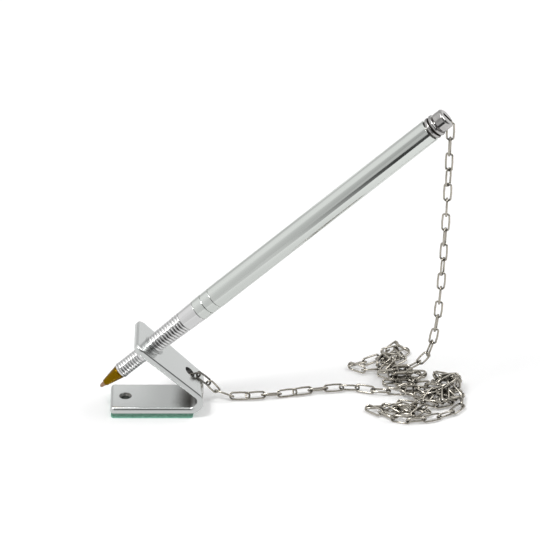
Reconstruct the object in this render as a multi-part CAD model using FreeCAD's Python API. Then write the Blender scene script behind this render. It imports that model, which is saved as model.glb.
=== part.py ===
"""Counter pen on a chain, in a bent-strip desk holder.  Units are millimetres.

The origin is the centre of the base's screw hole, on the desk.  X runs along the base towards
the bend, Z is up, and Y = 0 is the middle of the strip, where the pen's axis lies.
Every turned piece of the pen is drawn along its own axis, from the writing tip (s = 0) to the
knob, and is then laid through the hole in the holder's arm.
"""
import FreeCAD
import Part
import os
from math import cos, pi, sin

from FreeCAD import Placement, Rotation, Vector

# ---- Holder: one steel strip, bent back over itself ----------------------------------------
STRIP_T = 2.2            # thickness of the strip
STRIP_W = 14.6           # width at the base and round the bend
ARM_END_W = 17.4         # width at the arm's free end, as the arm fans out
BASE_FREE = 4.65         # base, from the screw hole to its free end
BASE_BEND = 20.0        # base, from the screw hole to where the bend starts
BEND_R = 4.2             # outside radius of the bend
ARM_RISE = 43.9          # degrees, the arm's slope over the base
ARM_L = 26.0             # arm, from the bend to its free end
ARM_PARALLEL = 1.0       # arm's stretch beside the bend, before it fans out
INNER_EDGE_R = 1.0       # rolled long edges on the side that faces into the bend
OUTER_EDGE_R = 0.6       # rolled long edges on the outside
BASE_CORNER_R = 1.2      # corners of the base, seen from above
ARM_CORNER_R = 2.6       # corners of the arm's free end
PEN_HOLE_AT = 19.4       # pen hole, from the bend, along the arm
PEN_HOLE_SINK_R = 4.9    # mouth of the pen hole's countersink
PEN_HOLE_LAND = 0.6      # straight wall left below the countersink
CHAIN_HOLE_AT = 4.05      # chain hole, from the bend, along the arm
CHAIN_HOLE_Y = 1.5       # chain hole, off the middle of the strip
CHAIN_HOLE_R = 1.9
SCREW_HOLE_R = 1.25
SCREW_SINK_R = 1.95
SCREW_SINK_DEPTH = 0.7

# ---- Adhesive pad under the base ------------------------------------------------------------
FOAM_T = 1.05
LINER_T = 0.45
PAD_INSET = 0.35         # foam stops short of the strip's edges
LINER_OVERHANG = 0.15    # liner stands past the foam all round
PAD_BEND_RUN = 1.2       # foam runs this far under the start of the bend
PAD_HOLE_PLAY = 0.45     # pad is punched this much wider than the screw hole

# ---- Pen: places along the axis, from the tip --------------------------------------------------
PEN_RISE = 42.1          # degrees, the pen's slope over the desk
REST_AT = 22.45          # arm's outer face, when the pen rests in the holder
BALL_R = 0.5
BALL_SHOWS = 0.35        # ball stands out of its housing
HOUSING_MOUTH_R = 0.52
HOUSING_R = 0.85
HOUSING_END = 8.7
CONE_START = 2.05
CONE_END = 8.6
CONE_TIP_R = 1.05
CONE_BASE_R = 2.2
CONE_NECK_R = 2.0        # small step where the cone meets the grip
CONE_NECK_L = 0.5
SPIGOT_R = 1.75          # cone's spigot inside the grip
SPIGOT_L = 3.1
COLLAR_R = 2.5
COLLAR_L = 0.7
LOWER_RIB_COUNT = 8
LOWER_RIB_R = 2.48
NECK_START = 16.95        # smooth neck between the two ribbed stretches
NECK_END = 22.75
NECK_FRONT_R = 2.55
NECK_REAR_R = 2.85
UPPER_RIB_COUNT = 12
UPPER_RIB_FRONT_R = 3.0
UPPER_RIB_REAR_R = 3.35
UPPER_RIB_END = 35.4
RIB_DEPTH = 0.28
GRIP_END = 41.2
GRIP_REAR_R = 3.5
BAND_L = 3.28             # each of the two plain bands behind the grip
BAND_GROOVE = 0.25       # groove beside each band
BAND_DROP = 0.25         # depth of those grooves
BAND_R = 3.58
BARREL_END = 135.85
BARREL_R = 3.66
BARREL_BORE_R = 3.1
COUPLER_R = 2.6          # under the bands
COUPLER_SPIGOT_R = 2.15  # in the grip
COUPLER_GRIP_L = 5.6
COUPLER_BARREL_L = 7.2
REFILL_R = 1.2
REFILL_BORE_R = 0.8
REFILL_START = 5.0
REFILL_END = 104.5
INK_END = 79.0
REFILL_CAP_L = 3.0
GRIP_BORE_R = 1.45

# ---- Cap end: plug with two bead rings, rivet, washer and the swivel knob ---------------------
PLUG_L = 8.3             # plug inside the barrel
CAP_GROOVE = 0.45        # groove before each bead
CAP_GROOVE_R = 2.9
BEAD_L = 1.05
BEAD_R = 3.6
BEAD_EDGE_R = 0.35
BEAD_EDGE_FLATS = 1
RIVET_R = 0.95
RIVET_HEAD_R = 1.8
RIVET_HEAD_L = 1.2
RIVET_IN_KNOB = 1.2
WASHER_R = 2.1
WASHER_T = 0.35
KNOB_R = 3.2
KNOB_L = 3.3
KNOB_EDGE_R = 0.8
KNOB_EDGE_FLATS = 4
KNOB_SLOT_W = 1.35
KNOB_SLOT_DEPTH = 1.35   # slot across the knob's end
KNOB_SLOT_FROM = -1.6    # the slot starts this far past the axis
KNOB_THROAT_FROM = 1.1  # and cuts right through on the low side, from here out
EYE_PIN_R = 0.45
EYE_PIN_OUT = 2.4        # pin that carries the chain, off the pen's axis
EYE_PIN_BACK = 0.62      # and back from the knob's end

# ---- Chain ---------------------------------------------------------------------------------------
WIRE_D = 0.65
LINK_L = 6.7             # outside length of a link
LINK_W = 2.85             # outside width of a link
LINK_SLACK = 0.16        # play of each link on the next
WIRE_SIDES = 6           # flats round a link's wire
END_FLATS = 4            # flats round each end of a link
STOP_PIN_R = 0.5         # pin behind the arm that holds the first link
STOP_PIN_L = 6.0
LEAD_ROUTE = [Vector(*point) for point in (
    (25.2, 2.3, 8.4), (26.5, 4.0, 4.6), (28.8, 5.0, 1.75), (33.6, 2.8, 1.45), (40.0, 4.0, 1.45),
    (48.5, 4.7, 1.45), (57.5, 7.2, 1.45), (66.0, 8.6, 1.45), (73.4, 10.1, 1.45))]
HANGING_ROUTE = [Vector(*point) for point in (
    (98.9, 0.0, 84.0), (98.2, 0.5, 65.0), (97.3, 1.2, 44.7), (96.1, 2.6, 28.0),
    (94.0, 5.1, 15.6), (89.5, 8.4, 9.1), (84.5, 10.5, 6.3), (79.6, 12.1, 5.35))]
HEAP_OUTLINE = [Vector(*point, 0) for point in (
    (67.5, 21.0), (75.0, 28.0), (84.0, 35.6), (88.5, 29.8), (88.0, 20.4), (94.0, 15.5), (102.0, 16.2),
    (106.0, 6.0), (103.2, -6.0), (93.0, -11.3), (82.0, -9.2), (73.5, -2.6), (73.4, 5.2), (71.6, 13.8))]
HEAP_H = 4.4
HEAP_CORNER_R = 2.5
HEAP_SLOPE = 1.3         # bevel round the heap's top

# ---- Fits ------------------------------------------------------------------------------------------
FIT = 0.05               # radial play between turned pieces
PEN_HOLE_PLAY = 0.08     # radial play of the neck in the arm's hole
SEAT = 0.02              # faces that seat on each other

PAD_T = FOAM_T + LINER_T
PITCH = LINK_L - 2 * WIRE_D - LINK_SLACK
ARM_TURN = Rotation(Vector(0, 1, 0), ARM_RISE)      # turns +Z to the arm's outward normal
BEND_AXIS = Vector(BASE_BEND, 0, PAD_T + BEND_R)


def on_arm(along, across=0.0, out=0.0):
    """Point on the arm: along it from the bend, across it, and out from its outer face."""
    return BEND_AXIS + ARM_TURN.multVec(Vector(-along, across, BEND_R + out))


ARM_ALONG = ARM_TURN.multVec(Vector(1, 0, 0))       # from the free end to the bend
ARM_NORMAL = ARM_TURN.multVec(Vector(0, 0, 1))
PEN_TURN = Rotation(Vector(0, 1, 0), 90 - PEN_RISE)  # turns +Z to the pen's axis
PEN_ALONG = PEN_TURN.multVec(Vector(0, 0, 1))
PEN_TIP = on_arm(PEN_HOLE_AT) - PEN_ALONG * REST_AT


def place_on_pen(shape):
    """Lay a piece that was drawn along +Z from the tip onto the resting pen's axis."""
    placed = shape.copy()
    placed.Placement = Placement(PEN_TIP, PEN_TURN).multiply(shape.Placement)
    return placed


def turned(profile):
    """Solid of revolution about Z.  The profile is a list of (s, r), closed to its start."""
    points = [Vector(r, 0, s) for s, r in profile]
    wire = Part.makePolygon(points + points[:1])
    return Part.Face(wire).revolve(Vector(0, 0, 0), Vector(0, 0, 1), 360)


def rod(radius, start, end):
    """Plain cylinder along Z."""
    return Part.makeCylinder(radius, end - start, Vector(0, 0, start))


def round_corner(s, r, radius, flats, rear=True):
    """Profile points round the outer corner at (s, r), at a piece's rear or front end."""
    points = []
    for i in range(flats + 1):
        turn = pi / 2 * i / flats
        points.append((s - radius * (1 - sin(turn)), r - radius * (1 - cos(turn))))
    if rear:
        return points
    return [(2 * s - place, at) for place, at in reversed(points)]


# ---- Holder ----------------------------------------------------------------------------------------

def strip_section(width, origin):
    """Cross-section of the strip across X: a rectangle with rolled edges, its outer face down."""
    half = width / 2
    inner, outer = INNER_EDGE_R, OUTER_EDGE_R
    edges = []
    corners = [(-half, 0, outer), (half, 0, outer), (half, STRIP_T, inner), (-half, STRIP_T, inner)]
    along = [Vector(0, 1, 0), Vector(0, 0, 1), Vector(0, -1, 0), Vector(0, 0, -1)]
    for i, (y, z, r) in enumerate(corners):
        before, after = along[i - 1], along[i]
        corner = Vector(0, y, z)
        start = corner - before * r
        end = corner + after * r
        middle = corner + (after - before) * (r * (1 - cos(pi / 4)))
        next_y, next_z, next_r = corners[(i + 1) % 4]
        edges.append(Part.Arc(start, middle, end).toShape())
        edges.append(Part.LineSegment(end, Vector(0, next_y, next_z) - after * next_r).toShape())
    wire = Part.Wire(edges)
    wire.translate(origin)
    return wire


def corner_plan(x_free, x_far, free_w, far_w, corner_r):
    """Upright block with the plan of one end of the strip, its two free corners rounded."""
    free, far = free_w / 2, far_w / 2
    outline = Part.makePolygon([Vector(x_free, -free, 0), Vector(x_far, -far, 0),
                                Vector(x_far, far, 0), Vector(x_free, free, 0),
                                Vector(x_free, -free, 0)])
    block = Part.Face(outline).extrude(Vector(0, 0, 3 * STRIP_T))
    corners = [edge for edge in block.Edges
               if all(abs(v.X - x_free) < 1e-6 for v in edge.Vertexes)
               and abs(edge.Vertexes[0].Y - edge.Vertexes[1].Y) < 1e-6]
    return block.makeFillet(corner_r, corners)


def fanned_arm():
    """Arm as a flat plate: parallel beside the bend, then fanning out, with rolled long edges.

    The outer face is at z = 0 and the bend at x = 0.
    """
    half, end_half = STRIP_W / 2, ARM_END_W / 2
    front = [Vector(0, -half, -STRIP_T), Vector(-ARM_PARALLEL, -half, -STRIP_T),
             Vector(-ARM_L, -end_half, -STRIP_T)]
    back = [Vector(point.x, -point.y, point.z) for point in reversed(front)]
    outline = front + back
    plate = Part.Face(Part.makePolygon(outline + outline[:1])).extrude(Vector(0, 0, STRIP_T))
    for z, radius in ((0, OUTER_EDGE_R), (-STRIP_T, INNER_EDGE_R)):
        long_edges = [edge for edge in plate.Edges
                      if all(abs(v.Z - z) < 1e-6 for v in edge.Vertexes)
                      and abs(edge.Vertexes[0].X - edge.Vertexes[1].X) > ARM_PARALLEL / 2]
        plate = plate.makeFillet(radius, long_edges)
    plan = corner_plan(-ARM_L, 0, 2 * end_half, 2 * end_half, ARM_CORNER_R)
    plan.translate(Vector(0, 0, -2 * STRIP_T))
    return plate.common(plan)


def countersink(mouth_r, bore_r, depth, reach):
    """Cutter for a countersunk hole.  Its mouth is at z = 0 and it goes down along -Z."""
    cone = Part.makeCone(bore_r, mouth_r, depth, Vector(0, 0, -depth))
    above = Part.makeCylinder(mouth_r, reach, Vector(0, 0, 0))
    bore = Part.makeCylinder(bore_r, 2 * reach, Vector(0, 0, -reach))
    return cone.fuse([above, bore]).removeSplitter()


def neck_r_at(s):
    """Radius of the pen's smooth neck at a place along the pen."""
    share = (s - NECK_START) / (NECK_END - NECK_START)
    return NECK_FRONT_R + share * (NECK_REAR_R - NECK_FRONT_R)


def pen_hole_r():
    """Bore that the neck rests in, sized by the neck where the bore's land ends."""
    return neck_r_at(REST_AT - STRIP_T + PEN_HOLE_LAND) + PEN_HOLE_PLAY


def holder_strip():
    """Base, bend and fanned arm in one piece, with the pen, chain and screw holes."""
    start = Vector(-BASE_FREE, 0, PAD_T)
    base = Part.Face(strip_section(STRIP_W, start)).extrude(Vector(BASE_FREE + BASE_BEND, 0, 0))
    base_plan = corner_plan(-BASE_FREE, BASE_BEND, STRIP_W, STRIP_W, BASE_CORNER_R)
    base_plan.translate(Vector(0, 0, PAD_T - STRIP_T))
    base = base.common(base_plan)

    bend_section = strip_section(STRIP_W, Vector(BASE_BEND, 0, PAD_T))
    bend = Part.Face(bend_section).revolve(BEND_AXIS, Vector(0, -1, 0), 180 - ARM_RISE)
    arm = fanned_arm()
    arm.Placement = Placement(on_arm(0), ARM_TURN)
    strip = base.fuse([bend, arm]).removeSplitter()

    pen_hole = countersink(PEN_HOLE_SINK_R, pen_hole_r(), STRIP_T - PEN_HOLE_LAND, 2 * STRIP_T)
    pen_hole.Placement = Placement(on_arm(PEN_HOLE_AT), PEN_TURN)
    chain_hole = Part.makeCylinder(CHAIN_HOLE_R, 2 * STRIP_T, Vector(0, 0, -1.5 * STRIP_T))
    chain_hole.Placement = Placement(on_arm(CHAIN_HOLE_AT, CHAIN_HOLE_Y), ARM_TURN)
    screw_hole = countersink(SCREW_SINK_R, SCREW_HOLE_R, SCREW_SINK_DEPTH, 1.1 * STRIP_T)
    screw_hole.translate(Vector(0, 0, PAD_T + STRIP_T))
    return strip.cut([pen_hole, chain_hole, screw_hole])


def pad_layer(bottom, thickness, inset):
    """One layer of the pad, inset from the strip's edges and punched below the screw hole."""
    length = BASE_FREE + BASE_BEND + PAD_BEND_RUN - 2 * inset
    width = STRIP_W - 2 * inset
    corner = Vector(inset - BASE_FREE, -width / 2, bottom)
    block = Part.makeBox(length, width, thickness, corner)
    upright = [edge for edge in block.Edges
               if abs(edge.Vertexes[0].Z - edge.Vertexes[1].Z) > thickness / 2]
    layer = block.makeFillet(BASE_CORNER_R - inset / 2, upright)
    return layer.cut(Part.makeCylinder(SCREW_HOLE_R + PAD_HOLE_PLAY, thickness, Vector(0, 0, bottom)))


def foam_pad():
    """Adhesive foam, stuck to the underside of the base."""
    return pad_layer(LINER_T, FOAM_T, PAD_INSET)


def release_liner():
    """Peel-off film under the foam."""
    return pad_layer(0, LINER_T, PAD_INSET - LINER_OVERHANG)


def stop_pin():
    """Pin behind the arm that keeps the first link in the chain hole."""
    middle = on_arm(CHAIN_HOLE_AT, CHAIN_HOLE_Y, -STRIP_T - STOP_PIN_R - SEAT)
    return Part.makeCylinder(STOP_PIN_R, STOP_PIN_L, middle - ARM_ALONG * (STOP_PIN_L / 2), ARM_ALONG)


# ---- Pen ---------------------------------------------------------------------------------------------

def writing_ball():
    """Ball that rolls in the refill's tip."""
    return Part.makeSphere(BALL_R, Vector(0, 0, BALL_R))


def ball_housing():
    """Metal point that holds the ball and plugs the ink tube."""
    shoulder = REFILL_START
    plug_r = REFILL_BORE_R - FIT
    body = turned([(BALL_SHOWS, 0), (BALL_SHOWS, HOUSING_MOUTH_R), (CONE_START, HOUSING_R),
                   (shoulder - SEAT, HOUSING_R), (shoulder - SEAT, plug_r), (HOUSING_END, plug_r),
                   (HOUSING_END, 0)])
    socket = Part.makeSphere(BALL_R + SEAT, Vector(0, 0, BALL_R))
    return body.cut(socket)


def refill_tube():
    """Ink tube, from the housing to its vented cap."""
    return rod(REFILL_R, REFILL_START, REFILL_END).cut(rod(REFILL_BORE_R, 0, BARREL_END))


def ink_column():
    """Ink that fills the tube behind the housing."""
    return rod(REFILL_BORE_R - FIT, HOUSING_END + SEAT, INK_END)


def refill_cap():
    """Stopper in the tube's end, with a flange and an air hole."""
    flange = REFILL_R + 0.35
    stem = REFILL_BORE_R - FIT
    vent = stem / 3
    return turned([(REFILL_END - REFILL_CAP_L, vent), (REFILL_END - REFILL_CAP_L, stem),
                   (REFILL_END + SEAT, stem), (REFILL_END + SEAT, flange),
                   (REFILL_END + REFILL_CAP_L / 3, flange), (REFILL_END + REFILL_CAP_L / 3, vent)])


def nose_cone():
    """Tapered nose that guides the refill's point, with a spigot in the grip."""
    guide_r = HOUSING_R + FIT
    refill_r = REFILL_R + FIT
    guide_end = REFILL_START - 4 * FIT
    neck = CONE_END - CONE_NECK_L
    return turned([(CONE_START, guide_r), (CONE_START, CONE_TIP_R), (neck, CONE_BASE_R),
                   (neck, CONE_NECK_R), (CONE_END, CONE_NECK_R), (CONE_END, SPIGOT_R),
                   (CONE_END + SPIGOT_L, SPIGOT_R), (CONE_END + SPIGOT_L, refill_r),
                   (guide_end, refill_r), (guide_end, guide_r)])


def ribs(start, end, count, front_r, rear_r):
    """Profile of turned ribs: each is a land and a groove, on a taper from front to rear."""
    profile = []
    pitch = (end - start) / count
    for i in range(count):
        s = start + i * pitch
        r = front_r + (rear_r - front_r) * (i + 0.5) / count
        profile += [(s, r - RIB_DEPTH), (s + 0.25 * pitch, r), (s + 0.7 * pitch, r)]
    profile.append((end, rear_r - RIB_DEPTH))
    return profile


def grip_section():
    """Front of the pen: collar, fine ribs, smooth neck, coarse ribs and a plain taper."""
    ribs_start = CONE_END + COLLAR_L
    spigot_end = CONE_END + SPIGOT_L + 4 * FIT
    coupler_start = GRIP_END - COUPLER_GRIP_L
    outside = [(CONE_END, SPIGOT_R + FIT), (CONE_END, COLLAR_R), (ribs_start, COLLAR_R)]
    outside += ribs(ribs_start, NECK_START, LOWER_RIB_COUNT, LOWER_RIB_R, LOWER_RIB_R)
    outside += [(NECK_START, NECK_FRONT_R), (NECK_END, NECK_REAR_R)]
    outside += ribs(NECK_END, UPPER_RIB_END, UPPER_RIB_COUNT, UPPER_RIB_FRONT_R, UPPER_RIB_REAR_R)
    outside += [(UPPER_RIB_END, UPPER_RIB_REAR_R), (GRIP_END, GRIP_REAR_R)]
    inside = [(GRIP_END, COUPLER_SPIGOT_R + FIT), (coupler_start, COUPLER_SPIGOT_R + FIT),
              (coupler_start, GRIP_BORE_R), (spigot_end, GRIP_BORE_R),
              (spigot_end, SPIGOT_R + FIT)]
    return turned(outside + inside)


def band_start(index):
    """Where a plain band starts: 0 is the one beside the grip, 1 the one beside the barrel."""
    return GRIP_END + SEAT + index * (BAND_L + SEAT)


def barrel_start():
    """Where the barrel starts, behind both bands."""
    return band_start(2)


def plain_band(index):
    """Plain band on the coupler, with a groove turned at its front."""
    start = band_start(index)
    end = start + BAND_L
    bore = COUPLER_R + FIT
    return turned([(start, bore), (start, BAND_R - BAND_DROP), (start + BAND_GROOVE, BAND_R - BAND_DROP),
                   (start + BAND_GROOVE, BAND_R), (end, BAND_R), (end, bore)])


def coupler():
    """Hidden tube that joins grip and barrel and carries the two bands."""
    grip_from = GRIP_END - COUPLER_GRIP_L + 4 * FIT
    barrel_r = BARREL_BORE_R - FIT
    barrel_from = barrel_start() + SEAT
    end = barrel_from + COUPLER_BARREL_L
    return turned([(grip_from, GRIP_BORE_R), (grip_from, COUPLER_SPIGOT_R),
                   (GRIP_END + SEAT, COUPLER_SPIGOT_R), (GRIP_END + SEAT, COUPLER_R),
                   (barrel_from, COUPLER_R), (barrel_from, barrel_r), (end, barrel_r),
                   (end, GRIP_BORE_R)])


def barrel():
    """Long plain tube of the pen, with a groove turned at its front."""
    start = barrel_start()
    groove_r = BARREL_R - BAND_DROP
    return turned([(start, BARREL_BORE_R), (start, groove_r), (start + BAND_GROOVE, groove_r),
                   (start + BAND_GROOVE, BARREL_R), (BARREL_END, BARREL_R),
                   (BARREL_END, BARREL_BORE_R)])


def plug_end():
    """Where the plug's second bead ends."""
    return BARREL_END + SEAT + 2 * (CAP_GROOVE + BEAD_L)


def end_plug():
    """Plug in the barrel's end, with two bead rings outside it and a bore for the rivet."""
    bore = RIVET_R + FIT
    inside_r = BARREL_BORE_R - FIT
    start = BARREL_END - PLUG_L
    s = BARREL_END + SEAT
    profile = [(start, bore), (start, inside_r), (s, inside_r), (s, CAP_GROOVE_R)]
    for _ in range(2):
        bead = s + CAP_GROOVE
        s = bead + BEAD_L
        profile.append((bead, CAP_GROOVE_R))
        profile += round_corner(bead, BEAD_R, BEAD_EDGE_R, BEAD_EDGE_FLATS, rear=False)
        profile += round_corner(s, BEAD_R, BEAD_EDGE_R, BEAD_EDGE_FLATS)
        profile.append((s, CAP_GROOVE_R))
    profile.append((s, bore))
    return turned(profile)


# ---- Swivel -------------------------------------------------------------------------------------------

def knob_start():
    """Face of the knob that runs on the washer."""
    return plug_end() + WASHER_T + 2 * SEAT


def swivel_rivet():
    """Rivet that turns in the plug: a head inside the pen and a shank fixed in the knob."""
    head = BARREL_END - PLUG_L - SEAT
    end = knob_start() + RIVET_IN_KNOB
    return turned([(head - RIVET_HEAD_L, 0), (head - RIVET_HEAD_L, RIVET_HEAD_R),
                   (head, RIVET_HEAD_R), (head, RIVET_R), (end, RIVET_R), (end, 0)])


def swivel_washer():
    """Washer between the plug's second bead and the knob."""
    start = plug_end() + SEAT
    return rod(WASHER_R, start, start + WASHER_T).cut(rod(RIVET_R + FIT, 0, 2 * BARREL_END))


def eye_pin_at():
    """Place of the pin that carries the chain, along the pen."""
    return knob_start() + KNOB_L - EYE_PIN_BACK


def swivel_knob():
    """Rounded knob, slotted across its end and through its low side for the chain."""
    start = knob_start()
    end = start + KNOB_L
    knob = turned([(start, 0), (start, KNOB_R)]
                  + round_corner(end, KNOB_R, KNOB_EDGE_R, KNOB_EDGE_FLATS) + [(end, 0)])
    half = KNOB_SLOT_W / 2
    end_slot = Part.makeBox(2 * KNOB_R, KNOB_SLOT_W, KNOB_L,
                            Vector(KNOB_SLOT_FROM, -half, end - KNOB_SLOT_DEPTH))
    throat = Part.makeBox(KNOB_R, KNOB_SLOT_W, 2 * KNOB_L,
                          Vector(KNOB_THROAT_FROM, -half, start - KNOB_L / 2))
    rivet_bore = rod(RIVET_R + SEAT, start - 1, start + RIVET_IN_KNOB + SEAT)
    pin_bore = Part.makeCylinder(EYE_PIN_R + SEAT, 2 * KNOB_R,
                                 Vector(EYE_PIN_OUT, -KNOB_R, eye_pin_at()), Vector(0, 1, 0))
    return knob.cut([end_slot, throat, rivet_bore, pin_bore])


def eye_pin():
    """Pin across the knob's slot, inside the knob's round."""
    reach = (KNOB_R ** 2 - (EYE_PIN_OUT + EYE_PIN_R) ** 2) ** 0.5 - FIT
    return Part.makeCylinder(EYE_PIN_R, 2 * reach, Vector(EYE_PIN_OUT, -reach, eye_pin_at()),
                             Vector(0, 1, 0))


# ---- Chain ---------------------------------------------------------------------------------------------

def link_shape():
    """One oval link about the origin: wire bent in XY, its length along X."""
    loop_r = (LINK_W - WIRE_D) / 2
    centre_x = (LINK_L - LINK_W) / 2
    corners = []
    for side in (1, -1):
        for i in range(END_FLATS + 1):
            turn = pi / 2 - i * pi / END_FLATS
            corners.append(Vector(side * (centre_x + loop_r * cos(turn)), side * loop_r * sin(turn), 0))
    path = Part.makePolygon(corners + corners[:1])
    middle = (corners[-1] + corners[0]) * 0.5
    ring = []
    for i in range(WIRE_SIDES):
        turn = 2 * pi * (i + 0.5) / WIRE_SIDES
        ring.append(middle + Vector(0, cos(turn), sin(turn)) * (WIRE_D / 2))
    section = Part.makePolygon(ring + ring[:1])
    return path.makePipeShell([section], True, True, 1)


def lay_link(link, start, end, face):
    """Put a link between two joints of the chain, its flat side facing as near to face as it can."""
    along = (end - start).normalize()
    flat = along.cross(face).cross(along).normalize()
    across = flat.cross(along)
    laid = link.copy()
    laid.Placement = Placement((start + end) * 0.5, Rotation(along, across, flat, "XYZ"))
    return laid


def route_point(points, distance):
    """Point at a distance along the straight runs between a route's points."""
    for start, end in zip(points, points[1:]):
        run = end - start
        if distance <= run.Length:
            return start + run * (distance / run.Length)
        distance -= run.Length
    return end


def route_length(points):
    """Length of a route's straight runs."""
    return sum((end - start).Length for start, end in zip(points, points[1:]))


def chain_run(points, first_face, second_face):
    """Links laid end to end along a route, facing two ways in turn."""
    link = link_shape()
    count = int(route_length(points) / PITCH)
    links = []
    for i in range(count):
        start = route_point(points, i * PITCH)
        end = route_point(points, (i + 1) * PITCH)
        links.append(lay_link(link, start, end, second_face if i % 2 else first_face))
    return links


def chain_lead():
    """Links from the arm's hole, down over the bend and along the desk to the heap."""
    inner = on_arm(CHAIN_HOLE_AT, CHAIN_HOLE_Y, -STRIP_T - 2 * (STOP_PIN_R + SEAT) - LINK_SLACK / 2)
    outer = inner + ARM_NORMAL * PITCH
    anchor = lay_link(link_shape(), inner, outer, ARM_ALONG)
    hook = outer + ARM_NORMAL * ((WIRE_D + LINK_SLACK) / 2)
    pull = (LEAD_ROUTE[0] - hook).normalize()
    points = [hook - pull * ((WIRE_D - LINK_SLACK) / 2)] + LEAD_ROUTE
    return Part.makeCompound([anchor] + chain_run(points, Vector(0, 1, 0), Vector(0, 0, 1)))


def chain_hanging():
    """Links from the knob's pin, plumb down and then over to the top of the heap."""
    pin = PEN_TIP + PEN_TURN.multVec(Vector(EYE_PIN_OUT, 0, eye_pin_at()))
    top = pin + Vector(0, 0, EYE_PIN_R + LINK_SLACK / 2)
    return Part.makeCompound(chain_run([top] + HANGING_ROUTE, Vector(0, 1, 0), Vector(1, 0, 0)))


def chain_heap():
    """The tangled rest of the chain, as one low mound on the desk."""
    mound = Part.Face(Part.makePolygon(HEAP_OUTLINE + HEAP_OUTLINE[:1])).extrude(Vector(0, 0, HEAP_H))
    upright = [edge for edge in mound.Edges
               if abs(edge.Vertexes[0].Z - edge.Vertexes[1].Z) > HEAP_H / 2]
    mound = mound.makeFillet(HEAP_CORNER_R, upright)
    rim = [edge for edge in mound.Edges if all(abs(v.Z - HEAP_H) < 1e-6 for v in edge.Vertexes)]
    return mound.makeChamfer(HEAP_SLOPE, rim)


# ---- The part -------------------------------------------------------------------------------------------

FIXED = {
    "holder_strip": holder_strip,
    "foam_pad": foam_pad,
    "release_liner": release_liner,
    "stop_pin": stop_pin,
    "chain_lead": chain_lead,
    "chain_heap": chain_heap,
    "chain_hanging": chain_hanging,
}

ON_PEN = {
    "swivel_knob": swivel_knob,
    "eye_pin": eye_pin,
    "swivel_rivet": swivel_rivet,
    "swivel_washer": swivel_washer,
    "end_plug": end_plug,
    "barrel": barrel,
    "band_front": lambda: plain_band(0),
    "band_rear": lambda: plain_band(1),
    "coupler": coupler,
    "grip_section": grip_section,
    "nose_cone": nose_cone,
    "ball_housing": ball_housing,
    "writing_ball": writing_ball,
    "refill_tube": refill_tube,
    "ink_column": ink_column,
    "refill_cap": refill_cap,
}


def main():
    """Build every piece and write one STEP file for each."""
    os.makedirs("parts", exist_ok=True)
    shapes = {name: build() for name, build in FIXED.items()}
    shapes.update({name: place_on_pen(build()) for name, build in ON_PEN.items()})
    for name, shape in shapes.items():
        if not shape.isValid():
            raise RuntimeError(name + " is not a valid solid")
        shape.exportStep("parts/" + name + ".step")
        print(name, len(shape.Solids), "solid(s), volume", round(shape.Volume, 2))


main()
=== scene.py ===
"""Counter pen on a chain, resting in a bent-steel desk holder: the visual model.

Lengths are written in millimetres and multiplied by MM, since the frame is in metres.  The origin
is the centre of the base's screw hole on the desk, X runs along the base towards the bend, Z is
up, and Y = 0 is the middle of the strip, where the pen's axis lies.
"""
import logging
import math
from dataclasses import dataclass, field
from enum import Enum
from typing import Callable, Iterable, Optional, Sequence

import bpy
import numpy as np
from mathutils import Matrix, Vector

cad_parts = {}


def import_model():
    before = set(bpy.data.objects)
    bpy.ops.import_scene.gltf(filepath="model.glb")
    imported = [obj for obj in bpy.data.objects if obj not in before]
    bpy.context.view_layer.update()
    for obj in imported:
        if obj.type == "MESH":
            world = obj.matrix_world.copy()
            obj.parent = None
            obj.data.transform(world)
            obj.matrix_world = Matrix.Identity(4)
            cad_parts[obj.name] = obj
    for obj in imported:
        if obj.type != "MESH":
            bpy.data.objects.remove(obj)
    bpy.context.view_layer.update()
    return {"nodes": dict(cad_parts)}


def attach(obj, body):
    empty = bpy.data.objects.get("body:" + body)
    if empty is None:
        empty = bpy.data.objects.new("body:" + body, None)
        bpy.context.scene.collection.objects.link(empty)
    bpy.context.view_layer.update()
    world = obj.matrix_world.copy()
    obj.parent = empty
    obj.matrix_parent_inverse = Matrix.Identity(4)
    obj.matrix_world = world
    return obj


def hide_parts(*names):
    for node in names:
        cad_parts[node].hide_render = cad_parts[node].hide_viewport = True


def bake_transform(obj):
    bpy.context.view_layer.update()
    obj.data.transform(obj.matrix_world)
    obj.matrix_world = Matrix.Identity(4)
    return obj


LOG = logging.getLogger("counter_pen")
MM = 0.001
ARM_RISE = math.radians(43.9)
ARM_TURN = Matrix.Rotation(ARM_RISE, 4, "Y")
PEN_LEAN = math.radians(90.0 - 42.1)
PEN_TURN = Matrix.Rotation(PEN_LEAN, 4, "Y")
PAD_T = 1.5 * MM
BEND_R = 4.2 * MM
BEND_AXIS = Vector((20.0 * MM, 0.0, PAD_T + BEND_R))
PEN_HOLE_AT = 19.4 * MM                 # along the arm, from the bend
REST_AT = 22.45 * MM                    # from the pen's tip back to the arm's outer face
CHAIN_HOLE = (4.05 * MM, 1.5 * MM)      # along the arm, and off the middle of the strip


def on_arm(along: float, across: float = 0.0, out: float = 0.0) -> Vector:
    """Find a point on the arm.

    Args:
        along: distance from the bend towards the arm's free end.
        across: distance from the middle of the strip.
        out: distance out from the arm's outer face.

    Returns:
        The point, in the part's frame.
    """
    return BEND_AXIS + ARM_TURN.to_3x3() @ Vector((-along, across, BEND_R + out))


ARM_NORMAL = ARM_TURN.to_3x3() @ Vector((0.0, 0.0, 1.0))
PEN_ALONG = PEN_TURN.to_3x3() @ Vector((0.0, 0.0, 1.0))
PEN_TIP = on_arm(PEN_HOLE_AT) - PEN_ALONG * REST_AT
PEN_PLACE = Matrix.Translation(PEN_TIP) @ PEN_TURN


# ---- The bench: operators used on every piece ---------------------------------------------------

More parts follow.
